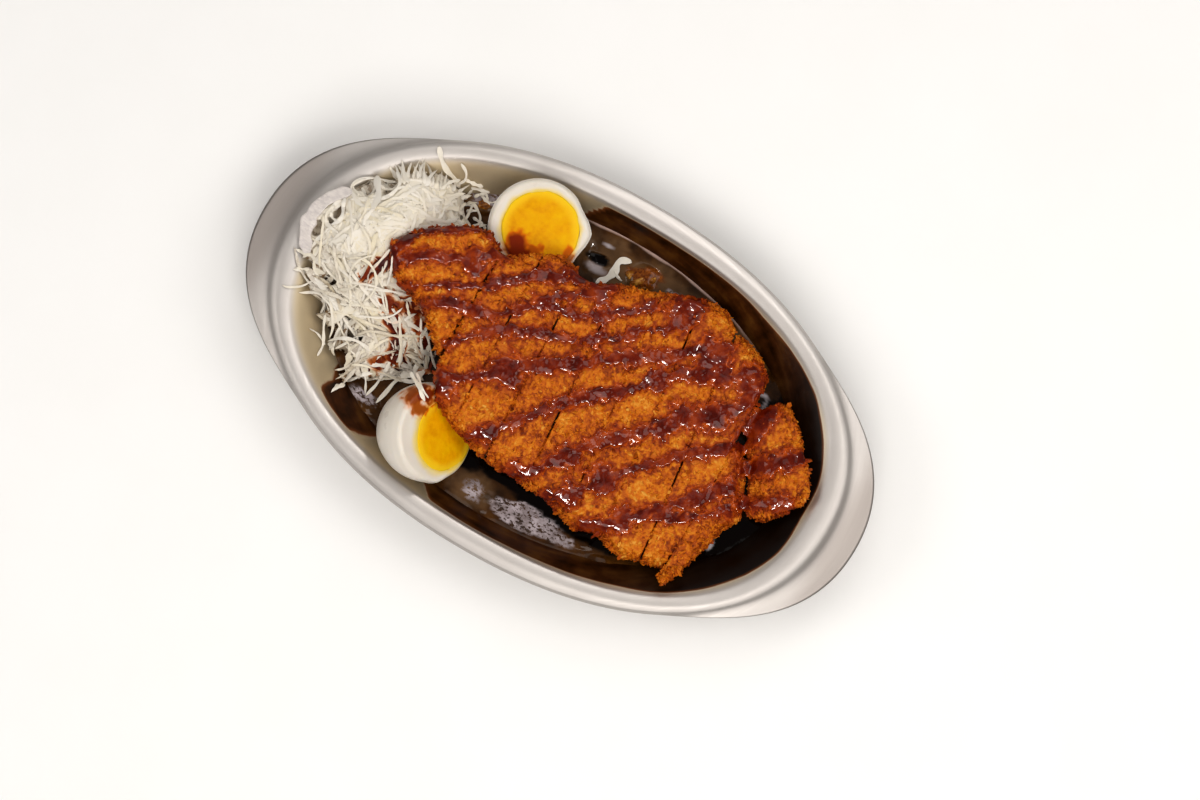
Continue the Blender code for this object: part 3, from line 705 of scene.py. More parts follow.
def make_dish():
    """The pressed dish as one smooth sheet."""
    floor = DISH_RINGS[0][3]
    rows = rows_through(dish_rows(angles_round(DISH_TURNS)), DISH_STEPS)
    rows[:, :, 2] = np.maximum(rows[:, :, 2], floor)
    points = np.concatenate([rows.reshape(-1, 3), [[0.0, 0.0, floor]]])
    faces = grid_faces(len(rows), DISH_TURNS, True) + fan(len(points) - 1, 0, DISH_TURNS)
    down = np.cross(np.gradient(rows, axis=0), np.roll(rows, -1, axis=1) - np.roll(rows, 1, axis=1))
    down = np.concatenate([down.reshape(-1, 3), [DOWN]])
    down[:DISH_TURNS] = DOWN
    down *= np.where(down[:, 2:] > 0.0, -1.0, 1.0) / np.linalg.norm(down, axis=1)[:, None]
    under = points + SHEET * down
    under[:, 2] = np.maximum(under[:, 2], floor - SHEET)
    sheet = closed_sheet(faces, len(points))
    piece = add_piece("steel_dish", np.concatenate([points, under]), sheet, steel_look())
    face_outwards(piece)
    along = np.cumsum(np.linalg.norm(np.diff(rows[-1], axis=0, prepend=rows[-1][:1]), axis=1))
    across = np.cumsum(np.linalg.norm(np.diff(rows, axis=0, prepend=rows[:1]), axis=2), axis=0)
    grain = flat_points(np.broadcast_to(along, across.shape).ravel(), across.ravel())
    grain = np.concatenate([grain, np.zeros((1, 3))]) * MM
    outer = np.concatenate([np.arange(len(rows)).repeat(DISH_TURNS) > POLISHED_RINGS * DISH_STEPS, [False]])
    clean = np.zeros(len(points))
    # Painted shade on the film towards the right end.
    murk = smooth_step(points[:, 0] - 0.15 * points[:, 1], *FILM_SHADE_SPAN)
    paint(
        piece,
        grain=np.tile(grain, (2, 1)),
        polish=np.concatenate([np.where(outer, 0.0, fade(points[:, 2], *POLISH_HEIGHTS)), clean]),
        # Painted shade towards the lip's ends.
        outer=np.tile(smooth_step(np.abs(points[:, 0]), *LIP_SHADE_ENDS) * outer, 2),
        film=np.concatenate([np.where(outer, 0.0, dish_film(points)), clean]),
        murk=np.concatenate([murk, clean]),
    )
    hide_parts("dish")


# ---------------------------------------------------------------- curry

# The curry's grid, how far it reaches into the wall, how high and how far it is drawn up at what it meets, and how
# near something standing in it is looked for.
CURRY_ROWS = 130
CURRY_TURNS = 360
CURRY_GROWTH = 0.9
MENISCUS = 0.7
MENISCUS_REACH = 1.5
STANDING_REACH = 4.0
# Lumps that stand in the curry: middle, half length, half width, turn in degrees and height.
LUMPS = (
    (9.5, 57, 6, 4.6, 50, 2.2), (0, -64.5, 3.2, 4.6, 0, 1), (-16, 53, 2, 7, 20, 1.2),
    (-66.5, 48.5, 5, 3, 20, 1.2), (-61, 51, 3, 3.4, 0, 1), (-66, -52, 4.5, 3, 30, 1.2),
    (-76, -53, 4, 2.6, -20, 1), (45, -57, 4, 2.4, 10, 0.9), (84, -40, 3, 5, 10, 0.5), (56, -59, 5, 2, 15, 0.7),
)
# Wrinkled skin on the curry, painted grey as a painted reflection: middle and half sizes.
SKINS = (
    (20, -60, 20, 5.4), (-8, -60.5, 5, 4.6), (32, -60.5, 8, 4), (29, 57, 8, 2), (-68, 52, 8, 4),
    (-70, -50, 7, 3),
)
# Painted smooth grey gleams, amber sauce, painted soft sheen and painted deep shade on the curry: middle and half
# sizes.
SHEENS = (
    (-10.5, 49.8, 6.6, 2.6), (-11, 61.2, 2.6, 1.3), (80, 38.6, 3.6, 1.2), (83, 33.6, 1, 4), (86, -37, 3.4, 1.3),
    (80.5, -43.5, 2.6, 1), (93, -29.5, 1.4, 3.2),
)
AMBERS = (
    (9, 56.5, 7.5, 4.5), (12, 60, 5, 3),
)
SOFT_SHEENS = (
    (8, 55, 40, 12), (50, 50, 24, 8), (-70, 54, 16, 8), (-8, -60, 12, 9),
)
SHADES = (
    (-12, 54, 6.5, 2.6), (84, -30, 44, 26), (96, 26, 16, 26), (-48, -62, 24, 5), (36, -52, 30, 5),
    (112, 0, 14, 44), (-20, -48, 16, 8), (8, -49, 34, 4),
)
# How broad the painted pale highlight line is where the curry meets the far wall.
HIGHLIGHT_LINE_DEPTH = 1.3
MORSEL_TURNS = 40
MORSEL_ROWS = 24
# Soft pieces half sunk in the curry: middle with its height, half sizes and turn in degrees.
MORSELS = (
    (8.3, 54.2, 20.9, 4.8, 1.9, 1.6, 48), (4.2, 54.6, 20.5, 2.6, 1.8, 1.2, -20),
    (13.2, 57.2, 20.6, 2.2, 1.6, 1.3, 70), (11.4, 52.9, 20.5, 2, 1.2, 1, 20), (-67, 49, 20.5, 3.2, 2, 1.3, 10),
    (-61.5, 52, 20.3, 2.2, 1.4, 1.1, 40),
)


def spots_on(flat, spots, seed, ragged=0.35, inner=0.6):
    """How far points lie inside ovals with ragged edges, from 0 to 1."""
    found = np.zeros(len(flat))
    for middle_x, middle_y, long_half, wide_half in spots:
        share = ((flat[:, 0] - middle_x) / long_half) ** 2 + ((flat[:, 1] - middle_y) / wide_half) ** 2
        share += ragged * noises(flat, (1.0, 5.0, seed), (0.55, 1.6, seed + 3))
        found = np.maximum(found, fade(share, inner, 1.15))
    return found


def make_morsels():
    """The soft pieces that stand out of the curry."""
    angles, bodies = angles_round(MORSEL_TURNS), []
    rises = np.linspace(-0.5 * math.pi, 0.5 * math.pi, MORSEL_ROWS)[1:-1]
    rings = [np.column_stack([math.cos(rise) * np.cos(angles), math.cos(rise) * np.sin(angles),
                              np.full(MORSEL_TURNS, math.sin(rise))]) for rise in rises]
    faces = grid_faces(len(rises), MORSEL_TURNS, True)
    count = len(rises) * MORSEL_TURNS
    faces += fan(count, 0, MORSEL_TURNS) + fan(count + 1, count - MORSEL_TURNS, MORSEL_TURNS)
    for x, y, z, long_half, wide_half, high_half, turn in MORSELS:
        ball = np.concatenate(rings + [np.array([[0.0, 0.0, -1.0], [0.0, 0.0, 1.0]])])
        ball *= (1.0 + 0.22 * noise_at(ball + x, 0.7, 93) + 0.07 * noise_at(ball + y, 0.3, 94))[:, None]
        spin = np.array(Matrix.Rotation(math.radians(turn), 3, "Z"))
        bodies.append(((ball * (long_half, wide_half, high_half)) @ spin.T + (x, y, z), faces))
    piece = add_piece("curry_morsels", *joined(bodies), morsel_look())
    face_outwards(piece)


def lump_relief(flat):
    """Height of the lumps that stand in the curry."""
    relief = np.zeros(len(flat))
    for middle_x, middle_y, long_half, wide_half, turn, height in LUMPS:
        cosine, sine = math.cos(math.radians(turn)), math.sin(math.radians(turn))
        x, y = flat[:, 0] - middle_x, flat[:, 1] - middle_y
        away = ((x * cosine + y * sine) / long_half) ** 2 + ((y * cosine - x * sine) / wide_half) ** 2
        relief += height * fade(away + 0.5 * noise_at(flat, 3.4, 15), 0.2, 1.5)
    return relief


def make_curry():
    """The curry's surface, drawn up a little at the wall and round what stands in it."""
    shares = np.sin(np.linspace(0.0, 0.5 * math.pi, CURRY_ROWS + 1))[1:]
    turns = angles_round(CURRY_TURNS)
    half_length, half_width, squareness, level = DISH_RINGS[CURRY_RING]
    ring = oval(half_length + CURRY_GROWTH, half_width + CURRY_GROWTH, squareness, turns)
    x, y = (np.concatenate([[0.0], (shares[:, None] * part).ravel()]) for part in ring)
    z = np.maximum(heights_on(tree_of([frame["nodes"]["curry"]]), x, y, level), level)
    flat = flat_points(x, y)
    open_share = fade(z, level + 0.2, level + 1.5)
    skin = spots_on(flat, SKINS, 13, 0.6)
    relief = noises(flat, (0.16, 9.0, 11), (0.06, 2.6, 12)) + skin * 0.12 * noise_at(flat, 1.3, 14)
    relief += lump_relief(flat) - 0.8 * spots_on(flat, SHADES[:1], 17)
    edge = 1.0 - np.concatenate([[0.0], np.repeat(shares, CURRY_TURNS)])
    rise = MENISCUS * np.exp(-edge * half_width / MENISCUS_REACH)
    around = tree_of([frame["nodes"][name] for name in CUTLET_NODES + ["egg_white_far", "egg_white_near"]])
    for i in np.flatnonzero((open_share > 0.5) & (edge < 0.6)):
        near = around.find_nearest(Vector((x[i], y[i], level)), STANDING_REACH)
        if near[0] is not None:
            rise[i] += 0.6 * MENISCUS * math.exp(-near[3] / MENISCUS_REACH)
    bottom_length, bottom_width, bottom_squareness, bottom = DISH_RINGS[CURRY_RING - 1]
    low_x, low_y = oval(bottom_length - 0.5, bottom_width - 0.5, bottom_squareness, turns)
    points = np.concatenate([
        np.column_stack([x, y, z + relief * open_share + rise]),
        flat_points(low_x, low_y) + (0.0, 0.0, bottom),
        [[0.0, 0.0, bottom]],
    ])
    faces = fan(0, 1, CURRY_TURNS)
    faces += [[1 + i for i in face[::-1]] for face in grid_faces(CURRY_ROWS + 1, CURRY_TURNS, True)]
    faces += fan(len(points) - 1, 1 + CURRY_ROWS * CURRY_TURNS, CURRY_TURNS)
    piece = add_piece("curry_sauce", points, faces, curry_look())
    face_outwards(piece)
    # The painted highlight line along the far wall.
    line = fade(edge * half_width + 0.4 * noise_at(flat, 6.0, 18), 0.6 * HIGHLIGHT_LINE_DEPTH, 1.4 * HIGHLIGHT_LINE_DEPTH)
    line *= smooth_step(y, 20.0, 45.0) * smooth_step(x, -30.0, -24.0) * fade(x, 45.0, 75.0)
    layers = {
        "skin": skin,
        "line": line,
        "sheen": spots_on(flat, SHEENS, 19, 0.3, 0.05),
        "amber": spots_on(flat, AMBERS, 26),
        "shade": spots_on(flat, SHADES, 17),
        "haze": spots_on(flat, SOFT_SHEENS, 27, 0.4, 0.2),
    }
    under = np.zeros(CURRY_TURNS + 1)
    paint(piece, **{name: np.concatenate([values, under]) for name, values in layers.items()})
    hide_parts("curry")


# ---------------------------------------------------------------- cutlet

# Size of the crust's faces, and the share of them that stays once those that don't show are merged.
CRUST_VOXEL = 0.6
KEPT_SHARE = 0.68
# How near the next piece a side counts as a cut face, how far the crumbs reach down from the top, and how near
# pieces are that touch under the crust.
CUT_REACH = 3.4
EDGE_DEPTH = 3.0
TOUCHING = 1.6
# From this depth of sauce to that one, the crust near it is soaked.
SOAK_EDGE = (-1.9, 0.1)


def crumb_relief(points):
    """Height of the crumbs over the crust and their tone, from layers of cells, with painted shade in the hollows.
    """
    coarse_border, coarse_tone, coarse_slope = cells_at(points, 2.4, 21)
    fine_border, fine_tone, fine_slope = cells_at(points, 1.25, 22)
    height = 0.55 * (coarse_tone - 0.5) + 0.3 * coarse_slope + 0.5 * (fine_tone - 0.5) + 0.22 * fine_slope
    height -= 0.3 * np.exp(-(coarse_border / 0.14) ** 2) + 0.2 * np.exp(-(fine_border / 0.14) ** 2)
    # Painted shade: the tone drops with the height, so hollows and crevices are darker; the rest varies at random.
    tone = 0.55 + 0.36 * height + 0.34 * (fine_tone - 0.5)
    return height, np.clip(tone, 0.0, 1.0)


def crust_darkening(points, normals):
    """How much darker the crust is: at its turned-down edges and in patches."""
    return 0.8 * fade(normals[:, 2], 0.3, 0.95) + 0.5 * noise_at(points, 14.0, 25)


def thin_out(piece, keep, share):
    """Merge small faces where they don't show."""
    group = piece.vertex_groups.new(name="hidden")
    for weight in (0.0, 1.0):
        chosen = np.flatnonzero(keep == (weight == 0.0))
        group.add(chosen.tolist(), weight, "REPLACE")
    fewer = piece.modifiers.new("fewer", "DECIMATE")
    fewer.ratio = share
    fewer.vertex_group = "hidden"
    apply_modifiers(piece)
    piece.vertex_groups.clear()


def nearness(points, chosen, tree, reach):
    """Distance from chosen points to a body, up to a reach."""
    near = np.full(len(points), reach)
    for i in np.flatnonzero(chosen):
        found = tree.find_nearest(Vector(points[i]), reach)
        if found[0] is not None:
            near[i] = found[3]
    return near


def make_crust(node, others, look):
    """A piece of the cutlet with its breadcrumb crust."""
    piece = dense_copy(node, node.replace("cutlet", "crust"), CRUST_VOXEL, 3, look)
    points, normals = points_of(piece), normals_of(piece)
    near = nearness(points, np.abs(normals[:, 2]) < 0.6, others, CUT_REACH)
    hidden = (normals[:, 2] < -0.5) | ((near < 0.6 * CUT_REACH) & (np.abs(normals[:, 2]) < 0.4))
    thin_out(piece, ~hidden, KEPT_SHARE)
    points, normals = points_of(piece), normals_of(piece)
    facing_side = np.abs(normals[:, 2]) < 0.75
    near = nearness(points, facing_side, others, CUT_REACH)
    cut = fade(near, 0.8 * CUT_REACH, CUT_REACH) * facing_side
    top = heights_on(tree_of([frame["nodes"][node]]), *(points - 0.8 * normals)[:, :2].T)
    crumbed = fade(top - points[:, 2], 0.5 * EDGE_DEPTH, EDGE_DEPTH)
    cut *= 1.0 - crumbed
    height, tone = crumb_relief(points)
    flat = 1.0 - 0.45 * smooth_step(normals[:, 2], 0.7, 0.97)
    wave = 0.35 * noise_at(points, 8.0, 23)
    lift = (height * flat + wave) * (1.0 - 0.85 * cut)
    closing = smooth_step(noise_at(points, 8.0, 24), -0.45, 0.0)
    touching = (near < TOUCHING) & facing_side
    lift = np.where(touching, 0.4 * crumbed * closing, lift)
    moved = points + normals * lift[:, None]
    moved[:, 2] = np.where(normals[:, 2] < -0.5, points[:, 2] + 0.3 * lift, moved[:, 2])
    move_points(piece, moved)
    soak = smooth_step(sauce_depth(moved[:, 0], moved[:, 1]), *SOAK_EDGE)
    paint(
        piece,
        tone=tone,
        browned=crust_darkening(points, normals),
        beside=touching & (closing < 0.6),
        cut=0.8 * cut * fade(np.abs(height), 0.5, 0.9),
        soak=soak * fade(top - moved[:, 2], 2.0, 6.0),
    )
    return piece


def make_cutlet():
    """All ten pieces of the cutlet."""
    look, solids = crust_look(), {node: frame["nodes"][node] for node in CUTLET_NODES}
    others = {node: [solids[other] for other in solids if other != node] for node in solids}
    return [make_crust(node, tree_of(others[node]), look) for node in solids]


def line_distance(x, y, line):
    """Distance from points to a line of straight runs, and how far along it they lie."""
    line = np.array(line, float)
    best = np.full(x.shape, 1e9)
    along = np.zeros(x.shape)
    done = 0.0
    for start, end in zip(line[:-1], line[1:]):
        run = end - start
        length = np.hypot(*run)
        share = np.clip(((x - start[0]) * run[0] + (y - start[1]) * run[1]) / length ** 2, 0.0, 1.0)
        distance = np.hypot(x - start[0] - share * run[0], y - start[1] - share * run[1])
        along = np.where(distance < best, done + share * length, along)
        best = np.minimum(best, distance)
        done += length
    return best, along


def sauce_depth(x, y):
    """How deep the sauce lies over points of the cutlet; under 0 where there is none."""
    flat = flat_points(x, y)
    ragged = noises(flat, (1.3, 3.4, 31), (1.3, 1.5, 32))
    depth = np.full(len(x), -9.0)
    for i, (width, line) in enumerate(STRIPES):
        distance, along = line_distance(x, y, line)
        place = flat_points(along, np.full(len(x), 40.0 * i))
        half = STRIPE_SPREAD * width * (1.0 + 0.4 * noise_at(place, 8.0, 33))
        depth = np.maximum(depth, 1.0 - ((distance + ragged) / half) ** 2)
    for *middle, radius in POOLS:
        distance = away_from(flat, middle) + 1.4 * ragged
        depth = np.maximum(depth, 1.25 * (1.0 - (distance / (POOL_SPREAD * radius)) ** 2))
    return depth


def blurred(values, known, rounds):
    """Values on a grid, blurred over the known ones."""
    total, weight = np.where(known, values, 0.0), known.astype(float)
    for _ in range(rounds):
        for axis in (0, 1):
            total, weight = (0.25 * np.roll(part, 1, axis) + 0.5 * part + 0.25 * np.roll(part, -1, axis)
                             for part in (total, weight))
    return total / np.maximum(weight, 1e-6)


def spread(values, rule, rounds):
    """Each value's highest or lowest neighbour on a grid, over some rounds."""
    for _ in range(rounds):
        for axis in (0, 1):
            values = rule(values, rule(np.roll(values, 1, axis), np.roll(values, -1, axis)))
    return values


def make_sauce(crusts):
    """The sauce drizzled over the cutlet: a skin that fills the crumbs' hollows."""
    xs, ys = (np.arange(*span, SAUCE_STEP) for span in SAUCE_SPANS)
    shape = (len(xs), len(ys))
    x, y = grid_points(xs, ys)
    depth = sauce_depth(x, y)
    ground = np.full(len(x), MISSING)
    wanted = depth > -0.6
    ground[wanted] = heights_on(tree_of(crusts), x[wanted], y[wanted])
    depth, ground = depth.reshape(shape), ground.reshape(shape)
    closed = spread(spread(np.where(ground > CUTLET_LOWEST, ground, MISSING), np.maximum, 3), np.minimum, 3)
    ground = np.where((closed > CUTLET_LOWEST) & (ground < closed - 1.0), closed - 0.5, ground)
    known = ground > CUTLET_LOWEST
    soft = blurred(ground, known, 9)
    share = np.sqrt(np.clip(depth / 0.9, 0.0, 1.0))
    lumps = noises(flat_points(x, y), (0.45, 3.8, 34), (0.2, 1.9, 35)).reshape(shape)
    top = ground + share * (SAUCE_FILL * (soft - ground) + SAUCE_DEPTH + lumps)
    top -= 0.35 * fade(depth, -0.3, 0.1)
    here = known & (np.abs(ground - soft) < STEEPEST) & (depth > -0.25)
    points, faces, used = grid_body(xs, ys, here, top, np.minimum(top, ground) - 0.5)
    piece = add_piece("cutlet_sauce", points, faces, sauce_look())
    paint(piece, thin=np.tile(fade(depth[used], 0.0, 0.75), 2))
    return piece


# Loose crumbs: how many, their size, and how they are stretched along, across and up.
CRUMB_COUNT = 9600
CRUMB_SIZES = (0.35, 0.75)
CRUMB_STRETCH = ((1.2, 2.4), (0.7, 1.2), (0.35, 0.7))


def make_crumbs(crusts):
    """Loose flakes of breadcrumb that stand out of the crust."""
    rng = np.random.default_rng(41)
    spots, facing = [], []
    for crust in crusts:
        points, normals = points_of(crust), normals_of(crust)
        beside = np.zeros(len(points), np.float32)
        crust.data.attributes["beside"].data.foreach_get("value", beside)
        keep = (normals[:, 2] > -0.35) & (beside < 0.5)
        spots.append(points[keep])
        facing.append(normals[keep])
    spots, facing = np.concatenate(spots), np.concatenate(facing)
    chance = (sauce_depth(spots[:, 0], spots[:, 1]) < 0.3) * (0.35 + 1.0 * (facing[:, 2] < 0.75))
    chosen = rng.choice(len(spots), CRUMB_COUNT, replace=False, p=chance / chance.sum())
    ball, ball_faces = blob_shape()
    corners = len(ball)
    bodies, tones = [], []
    for spot, normal in zip(spots[chosen], facing[chosen]):
        size = rng.uniform(*CRUMB_SIZES) * (1.0 + 0.7 * (rng.random() < 0.1))
        stretch = np.array([rng.uniform(*span) for span in CRUMB_STRETCH]) * size
        spin = Matrix.Rotation(rng.uniform(0.0, 2.0 * math.pi), 3, "Z")
        tilt = Matrix.Rotation(rng.normal(0.0, 0.5), 3, "Y")
        turn = np.array(Vector(normal).to_track_quat("Z", "Y").to_matrix() @ spin @ tilt)
        flake = (ball * (1.0 + rng.uniform(-0.35, 0.35, (corners, 1)))) * stretch
        bodies.append((flake @ turn.T + spot + normal * 0.2 * size, ball_faces))
        tones.append(np.clip(rng.normal(0.62, 0.17), 0.15, 1.0))
    points, faces = joined(bodies)
    piece = add_piece("loose_crumbs", points, faces, crust_look("loose_panko"), False)
    paint(
        piece,
        tone=np.repeat(tones, corners),
        browned=np.repeat(crust_darkening(spots[chosen], facing[chosen]), corners),
        cut=np.zeros(len(points)),
        soak=smooth_step(sauce_depth(points[:, 0], points[:, 1]), *SOAK_EDGE),
    )


def blob_shape():
    """Points and faces of a rough ball of twenty triangles."""
    golden = (1.0 + math.sqrt(5.0)) / 2.0
    points = []
    for a in (-1.0, 1.0):
        for b in (-golden, golden):
            points += [(0.0, a, b), (a, b, 0.0), (b, 0.0, a)]
    points = np.array(points) / math.hypot(1.0, golden)
    faces = []
    for i, j, k in itertools.combinations(range(len(points)), 3):
        if max(np.linalg.norm(points[a] - points[b]) for a, b in ((i, j), (j, k), (k, i))) < 1.2:
            outward = np.dot(np.cross(points[j] - points[i], points[k] - points[i]), points[i])
            faces.append((i, j, k) if outward > 0 else (i, k, j))
    return points, faces


# ---------------------------------------------------------------- eggs

# The egg halves: where the cut face's middle stands, how it leans and which way; radii and depths of the cup and
# the yolk; stains (middle, radius, strength); the corner that the cup is drawn out to (direction, share and half
# width in degrees); and how far the yolk's yellow reaches into the white.
EGG_HALVES = (
    {
        "name": "far",
        "middle": (-39.9, 50.0, 38.4),
        "lean": 10.0,
        "azimuth": -60.0,
        "face_radius": 21.3,
        "radius": 21.6,
        "waist": 1.5,
        "depth": 20.5,
        "yolk_radius": 16.3,
        "yolk_depth": 14.0,
        "yolk_shift": (0.5, 1.3),
        "stains": ((-43.6, 38.6, 8.6, 1.0), (-37.5, 41.0, 5.0, 0.6), (-22.6, 46.6, 4.6, 0.55)),
        "corner": (84.0, 0.09, 20.0),
        "fade": 2.9,
    },
    {
        "name": "near",
        "middle": (-31.8, -48.4, 43.4),
        "lean": 44.0,
        "azimuth": 18.0,
        "face_radius": 21.0,
        "radius": 21.6,
        "waist": 4.0,
        "depth": 30.0,
        "yolk_radius": 14.6,
        "yolk_depth": 14.0,
        "yolk_shift": (4.4, 0.0),
        "stains": ((-48.4, -40.0, 6.6, 0.66), (-43.2, -36.4, 6.4, 0.9), (-42.6, -42.6, 4.4, 0.6)),
        "corner": (-70.0, 0.03, 12.0),
        "fade": 4.2,
    },
)
EGG_TURNS = 128
RIM_ROUND = 2.2
YOLK_OVERLAP = 0.55
# Stains fade out between these depths below the highest point.
STAIN_DEPTHS = (9.0, 14.0)


def placed(points, half):
    """An egg half's points moved to where it stands, in millimetres."""
    spin = Matrix.Rotation(math.radians(half["azimuth"]), 4, "Z")
    tilt = Matrix.Rotation(math.radians(half["lean"]), 4, "Y")
    place = np.array(Matrix.Translation(half["middle"]) @ spin @ tilt)
    return points @ place[:3, :3].T + place[:3, 3]


def turned(profile, shifts, rough=0.0):
    """Points and faces of a profile turned round its axis, whose rings may shift sideways and waver."""
    turns = angles_round(EGG_TURNS)
    wobble = 1.0 + rough * (0.5 * np.sin(3 * turns + 1.0) + 0.5 * np.sin(7 * turns) + 0.3 * np.sin(13 * turns))
    rows = [flat_points(radius * wobble * np.cos(turns), radius * wobble * np.sin(turns)) + (*shift, height)
            for (radius, height), shift in zip(profile, shifts)]
    tips = [[*shifts[ring], profile[ring][1]] for ring in (0, -1)]
    count = len(rows) * EGG_TURNS
    faces = grid_faces(len(profile), EGG_TURNS, True)
    faces += fan(count, 0, EGG_TURNS) + fan(count + 1, count - EGG_TURNS, EGG_TURNS)
    return np.concatenate(rows + [tips]), faces


def drawn_out(points, corner):
    """Points of an egg half drawn out to a corner: its direction, share and half width in degrees."""
    direction, share, width = corner
    angle = np.degrees(np.arctan2(points[:, 1], points[:, 0]))
    away = np.abs((angle - direction + 180.0) % 360.0 - 180.0)
    out = smooth_step(away_from(points, (0.0, 0.0)), 15.0, 21.0) * smooth_step(points[:, 2], -12.0, -1.0)
    pull = np.clip(1.0 - away / width, 0.0, 1.0) - 0.35 * np.exp(-((away - 1.5 * width) / 9.0) ** 2)
    points[:, :2] *= (1.0 + share * pull * out)[:, None]
    return points


def stains_on(points, stains, seed):
    """Where sauce has run, from middles, radii and strengths, with ragged edges."""
    found = np.zeros(len(points))
    ragged = noises(points, (2.4, 3.4, seed), (1.1, 1.2, seed + 1))
    for *middle, radius, strength in stains:
        distance = away_from(points, middle) + ragged
        found = np.maximum(found, strength * fade(distance, 0.35 * radius, radius))
    top = points[:, 2].max()
    return found * smooth_step(points[:, 2], top - STAIN_DEPTHS[1], top - STAIN_DEPTHS[0])


def make_white(half, look):
    """The white: a smooth cup with a softly rounded edge."""
    arc = np.linspace(0.02, 1.0, 40) * 0.5 * math.pi
    deep = half["depth"] - half["waist"]
    profile = [(half["radius"] * math.sin(a), -half["waist"] - deep * math.cos(a)) for a in arc]
    edge, inner = half["face_radius"] - RIM_ROUND, half["yolk_radius"]
    profile += [(edge + RIM_ROUND * math.cos(a), -RIM_ROUND + RIM_ROUND * math.sin(a))
                for a in np.linspace(0.0, 0.5 * math.pi, 7)]
    outside = len(profile)
    face_shares = np.linspace(0.0, 1.0, 14)[1:]
    profile += [(edge + (inner - edge) * share, 0.0) for share in face_shares]
    hollow = np.linspace(0.0, 0.98, 12)[1:] * 0.5 * math.pi
    profile += [(inner * math.cos(a), -half["yolk_depth"] * math.sin(a)) for a in hollow]
    shift = np.array(half["yolk_shift"])
    shifts = [np.zeros(2)] * outside + [shift * share for share in face_shares] + [shift] * len(hollow)
    points, faces = turned(profile, shifts)
    flat_share = smooth_step(points[:, 2], -0.4, -0.05)
    flat_share *= smooth_step(away_from(points, shift), inner + 0.6, inner + 3.0)
    points[:, 2] += 0.25 * flat_share * noise_at(points, 6.0, 51)
    local = drawn_out(points, half["corner"])
    points = placed(local, half)
    points += 0.12 * noise_at(points, 8.0, 52)[:, None]
    piece = add_piece(f"boiled_white_{half['name']}", points, faces, look)
    face_outwards(piece)
    soft = away_from(local, shift) - inner + 0.7 * noise_at(local, 3.0, 53)
    paint(
        piece,
        yellow=fade(soft, 0.2, half["fade"]) * (local[:, 2] > -0.6),
        stain=0.85 * stains_on(points, half["stains"], 54),
    )
    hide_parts(f"egg_white_{half['name']}")


def make_yolk(half, look):
    """The yolk, a little proud of the white and uneven at its edge."""
    radius, shift = half["yolk_radius"] + YOLK_OVERLAP, half["yolk_shift"]
    below = np.linspace(0.03, 0.96, 14) * 0.5 * math.pi
    profile = [(radius * math.sin(a), -(half["yolk_depth"] - 1.0) * math.cos(a) - 0.3) for a in below]
    above = np.linspace(1.0, 0.04, 26)
    profile += [(radius * share, 0.03 + 0.35 * (1.0 - share ** 2)) for share in above]
    points, faces = turned(profile, [shift] * len(profile), 0.012)
    out = away_from(points, shift) / radius
    top = smooth_step(points[:, 2], 0.0, 0.2) * fade(out, 0.8, 0.97)
    points[:, 2] += top * noises(points, (0.18, 4.0, 61), (0.08, 1.6, 62))
    points = placed(points, half)
    piece = add_piece(f"boiled_yolk_{half['name']}", points, faces, look)
    face_outwards(piece)
    paint(
        piece,
        rim=smooth_step(out + 0.05 * noise_at(points, 4.0, 63), 0.72, 0.98),
        stain=stains_on(points, half["stains"], 64),
    )
    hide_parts(f"egg_yolk_{half['name']}")


# ---------------------------------------------------------------- cabbage

# Points along a strand, the step of the core's grid, how far the core lies under the heap's top, and how steeply
# a strand may hang.
STRAND_POINTS = 15
CORE_STEP = 0.8
CORE_UNDER = 0.08
DROOP = 0.75
# How much deeper the core lies in the open web, in gaps there and in gaps elsewhere, and at the heap's outline.
WEB_DEPTH = 2.4
GAP_DEPTHS = (9.0, 4.5)
OUTLINE_DEPTH = 6.0
# Tries for each strand, the lift below which a strand is thin, and the lift from which it stands clear.
TRIES = 20
THIN_LIFT = 0.1
CLEAR_LIFT = 0.6
# Strands: how many, middle and half sizes of the area that they start in, lengths, lifts, widths, curl and
# how far they may stray from the heap.
STRANDS = (
    (40, (-97, 20), (24, 28), (12, 28), (-0.08, 0), (1.2, 3.2), 0.045, 0.5),
    (40, (-92, 24), (30, 26), (8, 22), (-0.04, 0.1), (0.8, 1.8), 0.06, 0.5),
    (14, (-108, 6), (18, 18), (10, 24), (-0.08, 0.02), (1.8, 3.4), 0.05, 0.5),
    (28, (-78, 36), (14, 16), (7, 16), (-0.05, 0.12), (1.1, 2.4), 0.06, 1),
    (18, (-100, 30), (26, 18), (7, 16), (0.05, 0.3), (1.2, 2.2), 0.08, 1.5),
    (8, (-96, 16), (24, 26), (12, 26), (0.15, 0.3), (1.2, 2.2), 0.07, 1),
    (60, (-84, -18), (18, 12), (10, 24), (0.05, 1), (1.4, 3), 0.07, 0.5),
    (40, (-72, -34), (14, 10), (9, 22), (0.05, 1.2), (1.2, 2.8), 0.07, 1),
    (40, (-58, -20), (12, 14), (6, 14), (0.1, 1), (0.9, 1.9), 0.08, 1),
    (30, (-86, -26), (24, 18), (16, 34), (1, 2.4), (0.8, 1.5), 0.06, 2),
    (12, (-110, -14), (11, 9), (12, 24), (0.4, 1.6), (0.8, 1.5), 0.06, 2),
)
# The heap's outline on the table.
HEAP_OUTLINE = (
    (-129.5, 8), (-127, 16), (-117, 30), (-109, 35.5), (-102, 42.5), (-96, 46), (-89, 47.5), (-82, 49),
    (-76, 50.5), (-73, 42), (-61, 39), (-70, 15), (-47, -28), (-62, -40), (-64, -47), (-78, -53), (-92, -45.5),
    (-100, -38.5), (-111.5, -26), (-121, -13.5), (-128, -6),
)
# What else than the heap may carry its strands.
CARRIERS = ("curry", "dish", "egg_white_near", "egg_white_far")
